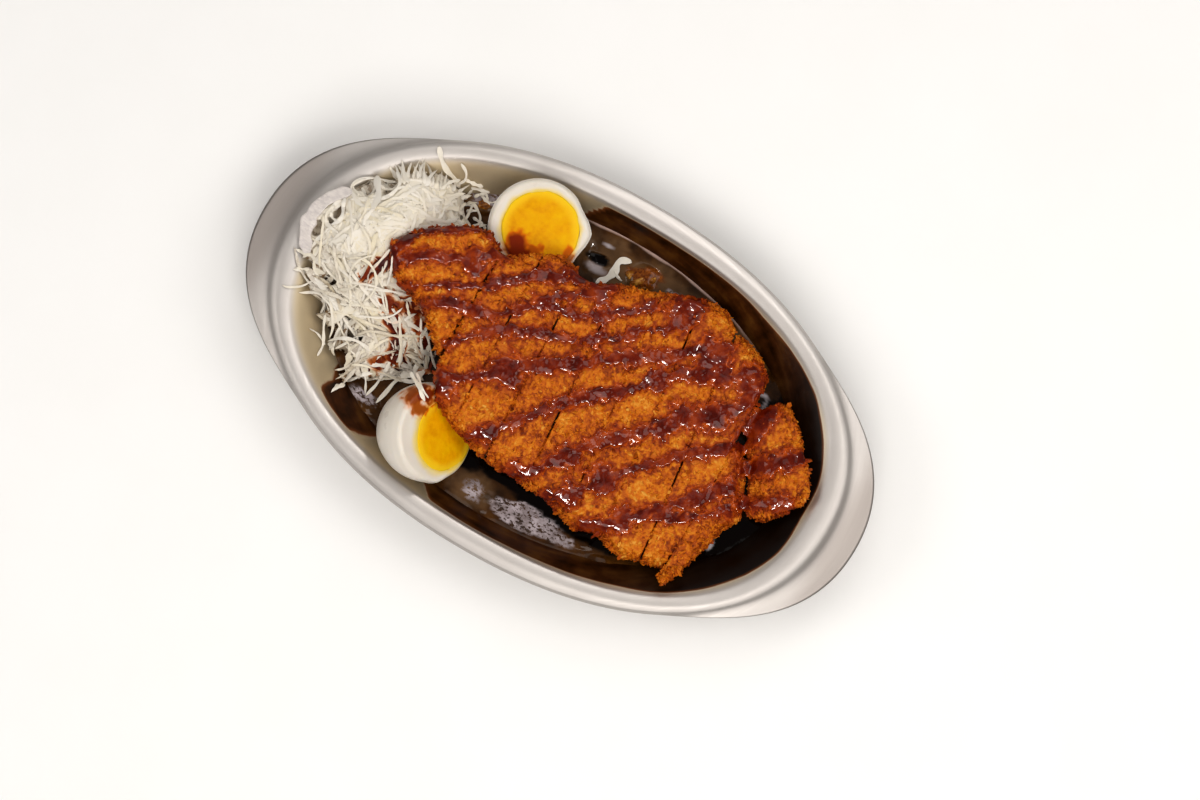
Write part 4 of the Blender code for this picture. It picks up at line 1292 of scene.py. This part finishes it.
# Strands on the heap's sides: how many, the heights that they start at, how far out the heap's side lies and how
# far apart two points of a strand may fall.
SIDE_STRANDS = 150
SIDE_HEIGHTS = (24.0, 44.0)
SIDE_REACH = 32.0
SIDE_LEAP = 3.5
HEAP_MIDDLE = (-90.0, 4.0)
# Gaps where the dish or the curry shows between strands: middle and half sizes.
GAPS = (
    (-113.2, 27.3, 4.4, 3.4), (-104.8, 34.6, 2.6, 3), (-117, 12.6, 1.8, 2.6), (-118.3, 7.4, 1.4, 1.8),
    (-122, 2.6, 2, 3), (-118.6, -12.8, 2.2, 1.2), (-106, -14.4, 2.2, 1.6), (-103, 30, 1.6, 1),
    (-97.4, -40.5, 4.2, 5.4), (-91, -45.2, 4.6, 3.6), (-94.1, -32.1, 2.8, 3.2), (-86.5, -29.9, 1.9, 2.3),
    (-85.5, -41.2, 4.2, 4.2), (-81.9, -29.5, 1.4, 1.8), (-74, -47, 4.2, 2.8), (-69.6, -45, 2.2, 3.2),
    (-63.9, -40.8, 2.6, 4.2), (-106.9, -26, 4, 2.5), (-102.4, -34, 4.2, 3.6), (-91.1, -26.3, 1.8, 2),
    (-87, 46.4, 1.4, 1), (-92.6, 46.8, 1, 2), (-98.4, 46, 2, 1.6), (-72.9, 38.4, 0.9, 1.3),
)
# Single strands that stand out: width and the line that they follow.
LOOSE = (
    (1.3, ((-103, 37), (-109, 35), (-113, 33.5), (-116.5, 30.5), (-118.5, 27.5), (-118, 24), (-113, 21.5))),
    (1.1, ((-115.5, 31.5), (-118, 26.5), (-116.5, 24.5), (-111, 23))),
    (3.6, ((-112, 34.5), (-108, 30.5), (-106, 27), (-104, 20))),
    (1.6, ((-105.5, 41), (-101.5, 38), (-100.5, 34), (-102, 29), (-105, 25))),
    (1.2, ((-110, 32), (-106, 31.5), (-102, 33), (-98, 36.5))),
    (1.5, ((-120, 14), (-121, 9.5), (-120, 6.5), (-116.5, 5), (-112, 4.5))),
    (1.6, ((-118, 19.5), (-116.5, 15.5), (-114.5, 12), (-114.5, 9), (-117, 6))),
    (1.2, ((-118.5, 14.5), (-119.5, 11), (-118, 9), (-114, 8.5))),
    (1, ((-123, -26.5), (-120.5, -26), (-116.5, -23), (-113.5, -19), (-111.5, -18), (-108, -18), (-101, -15))),
    (1.2, ((-115.5, -25.5), (-111.5, -23), (-107.5, -21.5), (-104, -22.5), (-100, -24), (-97, -27.5),
        (-95, -31.5), (-94.5, -36))),
    (1.3, ((-113, -17), (-108, -19.5), (-103, -21.5), (-98.5, -23.5), (-93, -27), (-92.5, -32),
        (-92.5, -36.5))),
    (1.3, ((-103, -18.5), (-99.5, -21.5), (-93.5, -25), (-88, -27.5), (-83.5, -30), (-78, -33.5))),
    (1.1, ((-90, -38.5), (-86.5, -34), (-84.5, -30), (-81.5, -27.5), (-77, -24.5))),
    (1.2, ((-100.5, -28), (-99, -32.5), (-97, -36.5), (-95.5, -40.5), (-95, -45))),
    (0.9, ((-104, -36.5), (-100, -36.5), (-95, -39))),
    (1.2, ((-92.5, -24.5), (-91.5, -30.5), (-91.5, -35.5), (-91, -40))),
    (2.6, ((-94, -36.5), (-92.5, -38), (-91, -39.5), (-89.5, -41))),
    (1.6, ((-80, -48), (-76.5, -45), (-74, -42), (-70, -38.5))),
    (0.9, ((-74, -40.5), (-71.5, -44), (-69.5, -48.5))),
    (1.4, ((-69, -49), (-67.5, -43), (-67, -38.5), (-66.5, -34.5), (-67, -29), (-69, -22))),
    (1.8, ((-63.5, -49.5), (-62, -43), (-61, -37.5), (-58.5, -33.5), (-55.5, -30.5), (-50.5, -30.5))),
    (1.5, ((-69, -37.5), (-64, -36), (-59.5, -35.5), (-54.5, -33.5), (-52.5, -30.5), (-53, -25.5))),
    (2.4, ((-62, -33), (-57, -32), (-53.5, -29), (-52.5, -24))),
    (1.6, ((-55, -31.5), (-51.5, -33.5), (-48.5, -35), (-45.5, -37.5), (-42.5, -39.5))),
    (1.2, ((-52.5, -30.5), (-49, -33), (-46.5, -35.5), (-42, -37.5))),
    (1.3, ((-82, -12.5), (-79.5, -15.5), (-76.5, -17), (-72.5, -16), (-69.5, -13.5), (-68, -10.5),
        (-66.5, -8))),
    (1.5, ((-70.5, -13.5), (-65.5, -15.5), (-62.5, -17), (-58.5, -19.5))),
    (1, ((-64, -8.5), (-61.5, -13), (-59, -17.5), (-55.5, -22), (-52.5, -26))),
    (1, ((-60.5, -11), (-55.5, -16.5), (-51.5, -21), (-48.5, -23.5))),
    (1, ((-89.5, -5.5), (-84, -11.5), (-79.5, -14.5), (-76, -17.5))),
    (1.1, ((-94, -10), (-89.5, -5.5), (-86.5, -2), (-83, -0.5))),
    (1.2, ((-88.5, 9), (-90.5, 0.5), (-93, -8))),
    (0.9, ((-86, 7), (-83.5, 1), (-82.5, -4.5))),
    (1, ((-87.5, 4.5), (-87, 0), (-88, -4))),
    (2.3, ((-95.5, 60), (-91.5, 55.5), (-87.5, 53), (-83.5, 52), (-79.5, 50))),
    (1.3, ((-83.5, 58.5), (-80, 56.5), (-79, 53.5), (-81, 50.5))),
    (1.3, ((-84.5, 44), (-83.5, 48.5), (-80.5, 52.5))),
    (1.6, ((-79, 54), (-74.5, 54.5), (-71, 55.5))),
    (1.4, ((-75.5, 52.5), (-71, 54), (-67.5, 55))),
    (1.5, ((-72.5, 50), (-70.5, 52.5), (-68.5, 53.5), (-66.5, 51.5))),
    (1.7, ((-71, 53), (-67, 51), (-63.5, 50), (-62, 49))),
    (1.1, ((-66.5, 50.5), (-64, 52), (-62.5, 53.5))),
    (1.3, ((-70, 39), (-71, 44.5), (-71, 47), (-68, 45.5), (-66, 44), (-64.5, 41.5))),
    (1.3, ((-75.5, 42.5), (-74, 38), (-71.5, 36.5), (-68, 36))),
    (1.4, ((-68.5, 42), (-64, 41.5), (-61, 40.5))),
    (3.4, ((-7.5, 44), (-4.5, 48), (-3, 52.5), (-3.5, 56.5), (-2, 59), (1.5, 60))),
    (1.1, ((-3, 53.5), (-1, 51.5), (2, 50.5))),
)
# Pointed tips round the heap's far and left sides: where each starts, which way it points and its length.
TIPS = (
    ((-98.6, 37.6), 132, 11), ((-96.5, 42), 118, 9), ((-91, 42.6), 134, 11.5), ((-89.6, 42.4), 126, 11),
    ((-85.8, 43.4), 128, 10.5), ((-84.4, 44.4), 124, 9), ((-101, 40), 150, 7), ((-99, 39), 122, 9.5),
    ((-103.6, 38.4), 142, 7), ((-94.4, 43.6), 140, 7), ((-79.6, 47), 100, 7), ((-76.6, 46.4), 60, 6),
    ((-82, 46.6), 136, 8), ((-87.6, 43.8), 150, 7), ((-119.5, -9), 215, 6), ((-117, -15), 200, 6),
    ((-72, 43), 30, 5.5), ((-66, 38.6), 40, 5), ((-74.6, 46), 20, 5), ((-80, -50), 250, 6),
)
# A broad, thin leaf slice along the heap's left edge.
LEAF_LINE = (
    (-116.5, 24), (-121.5, 19.5), (-125, 14), (-126.6, 8), (-126.6, 2), (-124.6, -4), (-120, -9.5),
)
LEAF_WIDTH = 6.4
LEAF_DROOP = 0.35
LEAF_THICK = 0.35
LEAF_LIFT = 1.0
LEAF_ROWS = 44
LEAF_COLUMNS = 9
# Where the cutlet's sauce has run into the cabbage: width, strength and the line that it follows.
STAINS = (
    (3.8, 0.8, ((-93, -6), (-88.5, 1), (-86.5, 6))), (5.6, 0.62, ((-80, -11), (-73, -10), (-67, -7))),
    (4.8, 1, ((-73, -16), (-70, -20))), (5.4, 1.1, ((-67, -24), (-65, -29))),
    (4, 0.6, ((-69, -30), (-71, -36))), (5, 0.66, ((-61, -12), (-55, -19), (-50, -23))),
    (3.4, 0.7, ((-52, -30), (-48, -34))),
)


def cabbage_stain(points, seed, grow=0.0):
    """Where the cutlet's sauce has run into the cabbage."""
    ragged = 1.8 * noise_at(points * (1.0, 1.0, 0.5), 3.6, seed) + noise_at(points, 1.6, seed + 1)
    found = np.zeros(len(points))
    for width, strength, line in STAINS:
        distance = line_distance(points[:, 0], points[:, 1], line)[0] + ragged - grow
        found = np.maximum(found, strength * fade(distance, 0.25 * width, width))
    return found


def inside_outline(x, y, outline):
    """Which points lie inside a closed outline."""
    inside = np.zeros(len(x), bool)
    for (x0, y0), (x1, y1) in zip(outline, outline[1:] + outline[:1]):
        crosses = (y0 > y) != (y1 > y)
        inside ^= crosses & (x < x0 + (y - y0) * (x1 - x0) / ((y1 - y0) or 1.0))
    return inside


def gap_share(x, y):
    """How far points lie into a gap between strands: over 1 outside every gap."""
    share = np.full(len(x), 9.0)
    for middle_x, middle_y, half_x, half_y in GAPS:
        share = np.minimum(share, np.hypot((x - middle_x) / half_x, (y - middle_y) / half_y))
    return share


def web_share(x, y):
    """How loosely the strands lie: 0 on the dense top and 1 in the open web towards the near side."""
    return fade(y + 0.25 * (x + 90.0) + 4.0 * noise_at(flat_points(x, y), 9.0, 74), -18.0, -2.0)


def along_line(line, count):
    """Evenly spaced points on a smooth curve through a line's points."""
    fine = rows_through(np.array(line, float), 12)
    far = np.concatenate([[0.0], np.cumsum(np.hypot(*np.diff(fine, axis=0).T))])
    even = np.linspace(0.0, far[-1], count)
    return np.column_stack([np.interp(even, far, values) for values in fine.T])


def wandering(rng, start, heading, length, curl):
    """A line that wanders and bends more near its ends."""
    step = length / (STRAND_POINTS - 1)
    bend = rng.normal(0.0, curl)
    place = np.array(start, float)
    path = []
    for k in range(STRAND_POINTS):
        path.append(place.copy())
        end = abs(2.0 * k / (STRAND_POINTS - 1) - 1.0)
        bend = 0.85 * bend + rng.normal(0.0, curl * (0.5 + 0.8 * end))
        heading += bend * step / 2.2
        place = place + step * np.array([math.cos(heading), math.sin(heading)])
    return np.array(path)


def heap_away(x, y):
    """How far points lie from the heap's outline: over 0 inside it."""
    away = line_distance(x, y, HEAP_OUTLINE + HEAP_OUTLINE[:1])[0]
    return away * np.where(inside_outline(x, y, HEAP_OUTLINE), 1.0, -1.0)


def laid_on(path, ground, lift, arch):
    """A line laid over what lies under it, bridging its hollows, and arched between its ends."""
    floor = np.array([ground(x, y) for x, y in path])
    if np.isnan(floor).any():
        return None
    apart = np.hypot(*(path[:, None] - path[None, :]).transpose(2, 0, 1))
    floor = (floor[None, :] - DROOP * apart).max(axis=1)
    for _ in range(8):
        floor[1:-1] = np.maximum(floor[1:-1], 0.5 * (floor[:-2] + floor[2:]) - 0.2)
    return np.column_stack([path, floor + lift + arch * np.sin(np.linspace(0.0, math.pi, len(path)))])


def laid_beside(tree, wander):
    """A line on a heap's side, from a line whose steps lead round the heap and up it, and where it faces."""
    turns = np.radians(wander[0, 0]) + (wander[:, 0] - wander[0, 0]) / SIDE_REACH
    path, facing = [], []
    for turn, height in zip(turns, wander[:, 1]):
        out = Vector((math.cos(turn), math.sin(turn), 0.0))
        hit, normal, _, _ = tree.ray_cast(Vector(HEAP_MIDDLE + (height,)) + 90.0 * out, -out)
        if hit is None:
            return None, None
        path.append(hit + 0.2 * out)
        facing.append(normal)
    path, facing = np.array(path), np.array(facing)
    for _ in range(3):
        path[1:-1] = 0.25 * (path[:-2] + path[2:]) + 0.5 * path[1:-1]
        facing[1:-1] = 0.25 * (facing[:-2] + facing[2:]) + 0.5 * facing[1:-1]
    if np.linalg.norm(np.diff(path, axis=0), axis=1).max() > SIDE_LEAP:
        return None, None
    return path, facing


def ribbon(path, width, thickness, twist, ripple, pointed=False, facing=(0.0, 0.0, 1.0)):
    """Points and faces of a flat strand along a path, tapered at its ends and uneven in width."""
    along = np.gradient(path, axis=0)
    along /= np.linalg.norm(along, axis=1)[:, None]
    side = np.cross(along, facing)
    side /= np.maximum(np.linalg.norm(side, axis=1), 1e-6)[:, None]
    up = np.cross(side, along)
    share = np.linspace(-1.0, 1.0, len(path))
    taper = np.sqrt(np.clip(1.0 - 0.93 * np.abs(share) ** 5, 0.05, 1.0))
    if pointed:
        taper *= 1.0 - 0.8 * smooth_step(share, -0.4, 1.1)
    angle = twist[0] + twist[1] * share
    broad = np.cos(angle)[:, None] * side + np.sin(angle)[:, None] * up
    high = np.cos(angle)[:, None] * up - np.sin(angle)[:, None] * side
    half = (0.5 * width * taper * (1.0 + 0.25 * np.sin(ripple * share + ripple)))[:, None]
    thick = (0.5 * thickness * taper)[:, None]
    corners = [path + half * broad, path + thick * high, path - half * broad, path - thick * high]
    points = np.stack(corners, axis=1).reshape(-1, 3)
    faces = grid_faces(len(path), 4, True)
    last = 4 * (len(path) - 1)
    faces += [[3, 2, 1, 0], [last, last + 1, last + 2, last + 3]]
    return points, faces


def sharpen_sides(piece):
    """Keep the narrow sides of flat strands, whose points come four to a ring, crisp."""
    edges = np.empty(2 * len(piece.data.edges), int)
    piece.data.edges.foreach_get("vertices", edges)
    first, second = edges.reshape(-1, 2).T
    sides = (first % 4 == second % 4) & (first % 2 == 0)
    piece.data.attributes.new("sharp_edge", "BOOLEAN", "EDGE").data.foreach_set("value", sides)


def leaf_slice(ground):
    """Points and faces of a thin rippled slice of leaf."""
    path = along_line(LEAF_LINE, LEAF_ROWS)
    along = np.gradient(path, axis=0)
    side = np.stack([along[:, 1], -along[:, 0]], axis=1) / np.hypot(*along.T)[:, None]
    across = np.linspace(-1.0, 1.0, LEAF_COLUMNS)
    ends = np.sqrt(np.clip(1.0 - np.linspace(-1.0, 1.0, LEAF_ROWS) ** 4, 0.03, 1.0))
    half = 0.5 * LEAF_WIDTH * ends * (1.0 + 0.3 * noise_at(flat_points(*path.T), 3.0, 83))
    plan = path[:, None, :] + side[:, None, :] * (half[:, None] * across)[..., None]
    plan = plan.reshape(-1, 2)
    floor = np.array([ground(x, y) for x, y in plan])
    floor = np.where(np.isnan(floor), np.nanmean(floor), floor).reshape(LEAF_ROWS, LEAF_COLUMNS)
    apart = np.abs(across[:, None] - across[None, :]) * 0.5 * LEAF_WIDTH
    floor = (floor[:, None, :] - LEAF_DROOP * apart).max(axis=2)
    for _ in range(6):
        floor[1:-1] = np.maximum(floor[1:-1], 0.5 * (floor[:-2] + floor[2:]))
        floor[:, 1:-1] = np.maximum(floor[:, 1:-1], 0.5 * (floor[:, :-2] + floor[:, 2:]))
    ripple = 0.45 * noise_at(flat_points(*plan.T), 4.6, 84) + 0.1 * noise_at(flat_points(*plan.T), 1.8, 85)
    top = floor.ravel() + LEAF_LIFT + ripple
    points = np.concatenate([np.column_stack([plan, top]), np.column_stack([plan, top - LEAF_THICK])])
    return points, closed_sheet(grid_faces(LEAF_ROWS, LEAF_COLUMNS, False), len(plan))


def closed_sheet(upper, count):
    """Faces of the body between a sheet's faces and their copy, whose points follow at a count."""
    edges = {}
    for face in upper:
        for a, b in zip(face, face[1:] + face[:1]):
            if edges.pop((b, a), None) is None:
                edges[(a, b)] = True
    sides = [[b, a, count + a, count + b] for a, b in edges]
    return upper + [[count + i for i in face[::-1]] for face in upper] + sides


def grid_body(xs, ys, here, top, bottom):
    """Points and faces of a body over the cells of a grid whose corners are all wanted."""
    shape = (len(xs), len(ys))
    corner = here[:-1, :-1] & here[1:, :-1] & here[1:, 1:] & here[:-1, 1:]
    used = np.zeros(shape, bool)
    for i, j in CELL_CORNERS:
        used[i:shape[0] - 1 + i, j:shape[1] - 1 + j] |= corner
    index = np.full(shape, -1)
    index[used] = np.arange(used.sum())
    cells = np.argwhere(corner)
    upper = np.stack([index[cells[:, 0] + i, cells[:, 1] + j] for i, j in CELL_CORNERS], axis=1)
    plan = np.column_stack([part[used.ravel()] for part in grid_points(xs, ys)])
    points = np.concatenate([np.column_stack([plan, top[used]]), np.column_stack([plan, bottom[used]])])
    return points, closed_sheet(upper.tolist(), int(used.sum())), used


def make_core(look):
    """The inside of the heap, a little smaller than the heap and open at the gaps."""
    (low_x, low_y, _), (high_x, high_y, _) = np.array(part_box("cabbage_heap")) / MM
    xs, ys = np.arange(low_x, high_x, CORE_STEP), np.arange(low_y, high_y, CORE_STEP)
    x, y = grid_points(xs, ys)
    tree = tree_of([frame["nodes"]["cabbage_heap"]])
    top = heights_on(tree, x, y)
    bottom = np.full(len(x), -MISSING)
    for i in np.flatnonzero(top > 0.0):
        hit = tree.ray_cast(Vector((x[i], y[i], -10.0)), -DOWN)[0]
        if hit is not None:
            bottom[i] = hit.z
    flat = flat_points(x, y)
    leaning = 0.5 + 0.5 * noise_at(flat, 12.0, 75)
    first = noise_at(flat_points(0.25 * (x + y), x - y), 1.9, 71)
    second = noise_at(flat_points(0.25 * (x - 2.0 * y), y + 0.3 * x), 1.9, 72)
    tone = 0.55 + 0.3 * (leaning * first + (1.0 - leaning) * second)
    web, hole = web_share(x, y), fade(gap_share(x, y), 0.9, 1.5)
    in_web = web > 0.5
    sunk = CORE_UNDER + 0.4 * (1.0 - tone) + 0.2 * noise_at(flat, 5.0, 76) + WEB_DEPTH * web
    top -= sunk + np.where(in_web, *GAP_DEPTHS) * hole + OUTLINE_DEPTH * fade(heap_away(x, y), -1.0, 3.0)
    here = (top > bottom + 0.3) & (top > 0.0)
    shape = (len(xs), len(ys))
    points, faces, used = grid_body(xs, ys, *(values.reshape(shape) for values in (here, top, bottom)))
    core = add_piece("cabbage_core", points, faces, look)
    face_outwards(core)
    # The core is painted brown in the web and its gaps: partly curry soaked in, partly painted shade where it lies
    # deep.
    gap_shade = smooth_step(hole, 0.0, 0.5) * np.where(in_web, 1.0, 0.68)
    used = used.ravel()
    paint(
        core,
        tone=np.tile(0.25 + 0.75 * tone[used], 2),
        stain=cabbage_stain(points, 73, 1.2),
        soak=np.tile(np.maximum(0.94 * web, gap_shade)[used], 2),
    )
    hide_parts("cabbage_heap")
    return core


class Shreds:
    """Strands of cabbage, drawn one after the other and kept to be made one piece."""

    def __init__(self, core):
        nodes = frame["nodes"]
        self.rng = np.random.default_rng(81)
        self.core = tree_of([core])
        self.under = tree_of([core] + [nodes[name] for name in CARRIERS])
        self.over = tree_of([nodes[name] for name in CUTLET_NODES + ["egg_yolk_far", "egg_yolk_near"]])
        self.anything = tree_of([core] + [nodes[name] for name in nodes if name != "cabbage_heap"])
        self.bodies, self.layers = [], {"tone": [], "stain": [], "soak": [], "leaf": []}

    def ground(self, x, y):
        """Height of what carries the heap's strands, or NaN where they may not lie."""
        return height_on(self.under, x, y) if math.isnan(height_on(self.over, x, y)) else math.nan

    def top_of(self, x, y):
        """Height of whatever lies on top."""
        return height_on(self.anything, x, y)

    def keep(self, body, tone, stain, soak=0.0, leaf=0.0):
        """Keep a strand and what colours it."""
        self.bodies.append(body)
        for layer, value in zip(self.layers.values(), (tone, stain, soak, leaf)):
            layer.append(np.full(len(body[0]), value))

    def spread_group(self, wanted, middle, half, lengths, lifts, widths, curl, slack):
        """One group of strands that lie on the heap."""
        rng, made = self.rng, 0
        for _ in range(TRIES * wanted):
            if made == wanted:
                break
            angle, share = rng.uniform(0.0, 2.0 * math.pi), math.sqrt(rng.random())
            aside = half[0] * share * math.cos(angle), half[1] * share * math.sin(angle)
            start = (middle[0] + aside[0], middle[1] + aside[1])
            path = wandering(rng, start, rng.uniform(0.0, 2.0 * math.pi), rng.uniform(*lengths), curl)
            lift = rng.uniform(*lifts)
            clear = lift >= CLEAR_LIFT
            if heap_away(*path.T).min() < -slack or gap_share(*path.T).min() < (0.8 if clear else 1.0):
                continue
            path = laid_on(path, self.ground, lift, rng.uniform(0.0, 0.1 + max(lift, 0.0)))
            if path is None:
                continue
            made += 1
            spin = (rng.normal(0.0, 0.08), rng.normal(0.0, 0.14))
            thick = rng.uniform(0.2, 0.28) if lift < THIN_LIFT else rng.uniform(0.32, 0.48)
            body = ribbon(path, rng.uniform(*widths), thick, spin, rng.uniform(4.0, 11.0))
            soak = 0.6 * rng.random() ** 2 * web_share(path[:, 0], path[:, 1]).mean()
            tone = rng.beta(4.0, 1.5)
            self.keep(body, tone, 0.6 * (rng.random() < 0.5) if clear else 0.75, soak)

    def spread_on_sides(self):
        """The strands on the heap's sides."""
        rng = self.rng
        for _ in range(SIDE_STRANDS):
            start = (rng.uniform(0.0, 360.0), rng.uniform(*SIDE_HEIGHTS))
            path, facing = laid_beside(self.core, wandering(rng, start, 0.0, rng.uniform(8.0, 20.0), 0.12))
            if path is None:
                continue
            body = ribbon(path, rng.uniform(1.0, 2.4), 0.4, (rng.normal(0.0, 0.2), 0.1), 6.0, False, facing)
            self.keep(body, rng.beta(4.0, 1.5), 0.5, 0.3 * rng.random() ** 2)

    def lay_single(self, width, line):
        """A strand that follows a line."""
        rng = self.rng
        plan = along_line(line, 2 * STRAND_POINTS)
        path = laid_on(plan, self.top_of, rng.uniform(0.5, 1.2), rng.uniform(0.0, 1.0))
        body = ribbon(path, width, 0.45, (rng.normal(0.0, 0.2), rng.normal(0.0, 0.3)), rng.uniform(4.0, 9.0))
        self.keep(body, rng.uniform(0.75, 1.0), 0.12)

    def lay_tips(self, start, heading, length):
        """A pair of pointed tips."""
        rng = self.rng
        for side in (-1.0, 1.0):
            angle = math.radians(heading + rng.normal(0.0, 10.0))
            bent = wandering(rng, start, angle, length * rng.uniform(0.75, 1.1), 0.07)
            path = laid_on(bent + side * rng.uniform(0.2, 1.1, 2), self.top_of, rng.uniform(0.3, 0.9), 0.6)
            body = ribbon(path, rng.uniform(1.2, 2.3), 0.45, (rng.normal(0.0, 0.3), 0.3), 5.0, True)
            self.keep(body, rng.uniform(0.7, 1.0), 0.0)


def make_strands(look, core):
    """The shredded cabbage that covers the heap and strays from it."""
    shreds = Shreds(core)
    for group in STRANDS:
        shreds.spread_group(*group)
    shreds.spread_on_sides()
    for strand in LOOSE:
        shreds.lay_single(*strand)
    for tip in TIPS:
        shreds.lay_tips(*tip)
    shreds.keep(leaf_slice(shreds.top_of), 0.5, 0.0, 0.0, 1.0)
    points, faces = joined(shreds.bodies)
    piece = add_piece("cabbage_strands", points, faces, look)
    sharpen_sides(piece)
    layers = {name: np.concatenate(values) for name, values in shreds.layers.items()}
    layers["stain"] *= cabbage_stain(points, 82)
    paint(piece, **layers)


# ---------------------------------------------------------------- scene

# How far the floor reaches, how bright the light all round is, and the picture's gamma.
FLOOR_REACH = 2000.0
WORLD_LEVEL = 0.3
PICTURE_GAMMA = 0.86
# Lights, in metres and watts: how far along the picture's right and up directions, height, size, power, colour and
# whether they show in glossy things. A spark gives glints alone.
LIGHTS = (
    ("front", 0.1, -0.75, 1.15, 0.8, 7.8, (1.0, 0.975, 0.945), True),
    ("back", 0.25, 0.72, 1.15, 0.8, 2.6, (1.0, 0.975, 0.95), True),
    ("right", 0.85, -0.1, 1.0, 0.6, 3.2, (1.0, 0.975, 0.95), True),
    ("left", -0.9, 0.0, 1.0, 0.5, 2.8, (1.0, 0.975, 0.95), True),
    ("fill", 0.0, 0.0, 1.5, 1.2, 4.4, (1.0, 0.98, 0.95), False),
    ("front_spark", -0.35, -0.62, 1.05, 0.24, 15.0, (1.0, 0.98, 0.96), True),
    ("front_low_spark", 0.15, -0.9, 0.78, 0.28, 17.0, (1.0, 0.98, 0.96), True),
    ("back_spark", 0.45, 0.6, 1.05, 0.08, 2.6, (1.0, 0.98, 0.96), True),
    ("sauce_sheen_spark", 0.0, 0.12, 1.2, 0.4, 0.32, (1.0, 0.94, 0.9), True),
)


def view_axes():
    """Directions from the plate to the camera, and right and up in the picture."""
    level = math.cos(VIEW_ELEVATION)
    back = Vector((math.sin(VIEW_TURN) * level, -math.cos(VIEW_TURN) * level, math.sin(VIEW_ELEVATION)))
    right = Vector((math.cos(VIEW_TURN), math.sin(VIEW_TURN), 0.0))
    return back, right, back.cross(right)


def make_camera():
    """The camera at the viewing angle."""
    back, right, up = view_axes()
    data = bpy.data.cameras.new("camera")
    data.lens = LENS
    camera = bpy.data.objects.new("camera", data)
    bpy.context.scene.collection.objects.link(camera)
    target = Vector((0.0, 0.0, RIM_HEIGHT)) + right * VIEW_SHIFT[0] + up * VIEW_SHIFT[1]
    turn = Matrix((right, up, back)).transposed().to_4x4()
    camera.matrix_world = Matrix.Translation((target + back * VIEW_DISTANCE) * MM) @ turn
    bpy.context.scene.camera = camera


def add_light(name, place, size, power, colour, glossy):
    """A square soft light that shines at the plate."""
    data = bpy.data.lights.new(name, "AREA")
    data.size = size
    data.energy = power
    data.color = colour
    light = bpy.data.objects.new(name, data)
    light.location = place
    light.rotation_euler = Vector(place).to_track_quat("Z", "Y").to_euler()
    light.visible_camera = False
    light.visible_glossy = glossy
    light.visible_diffuse = "spark" not in name
    bpy.context.scene.collection.objects.link(light)


def shine_only_on(names, piece):
    """Let some lights reach one piece alone."""
    only = bpy.data.collections.new("sparkling")
    only.objects.link(piece)
    for name in names:
        bpy.data.objects[name].light_linking.receiver_collection = only


def make_surroundings():
    """Floor, lights and the light all round."""
    _, right, up = view_axes()
    world = bpy.data.worlds.new("studio")
    world.use_nodes = True
    light_all_round = world.node_tree.nodes["Background"].inputs
    light_all_round["Color"].default_value = (1.0, 0.985, 0.965, 1.0)
    light_all_round["Strength"].default_value = WORLD_LEVEL
    bpy.context.scene.world = world
    bpy.context.scene.view_settings.view_transform = "Standard"
    bpy.context.scene.view_settings.gamma = PICTURE_GAMMA
    for name, along, across, height, size, power, colour, glossy in LIGHTS:
        spot = right * along + up * across
        add_light(name, (spot.x, spot.y, height), size, power, colour, glossy)
    corners = [((2 * i - 1) * FLOOR_REACH, (2 * j - 1) * FLOOR_REACH, 0.0) for i, j in CELL_CORNERS]
    floor = add_piece("floor", corners, [range(4)], floor_look(), False)
    floor.parent = None
    del floor["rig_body"]


def main():
    make_camera()
    make_surroundings()
    make_dish()
    make_curry()
    make_morsels()
    crusts = make_cutlet()
    shine_only_on(("front_spark", "front_low_spark", "sauce_sheen_spark"), make_sauce(crusts))
    make_crumbs(crusts)
    white, yolk = white_look(), yolk_look()
    for half in EGG_HALVES:
        make_white(half, white)
        make_yolk(half, yolk)
    make_strands(cabbage_look("cabbage_shreds", 0.0), make_core(cabbage_look("cabbage_inside", 0.03)))


main()
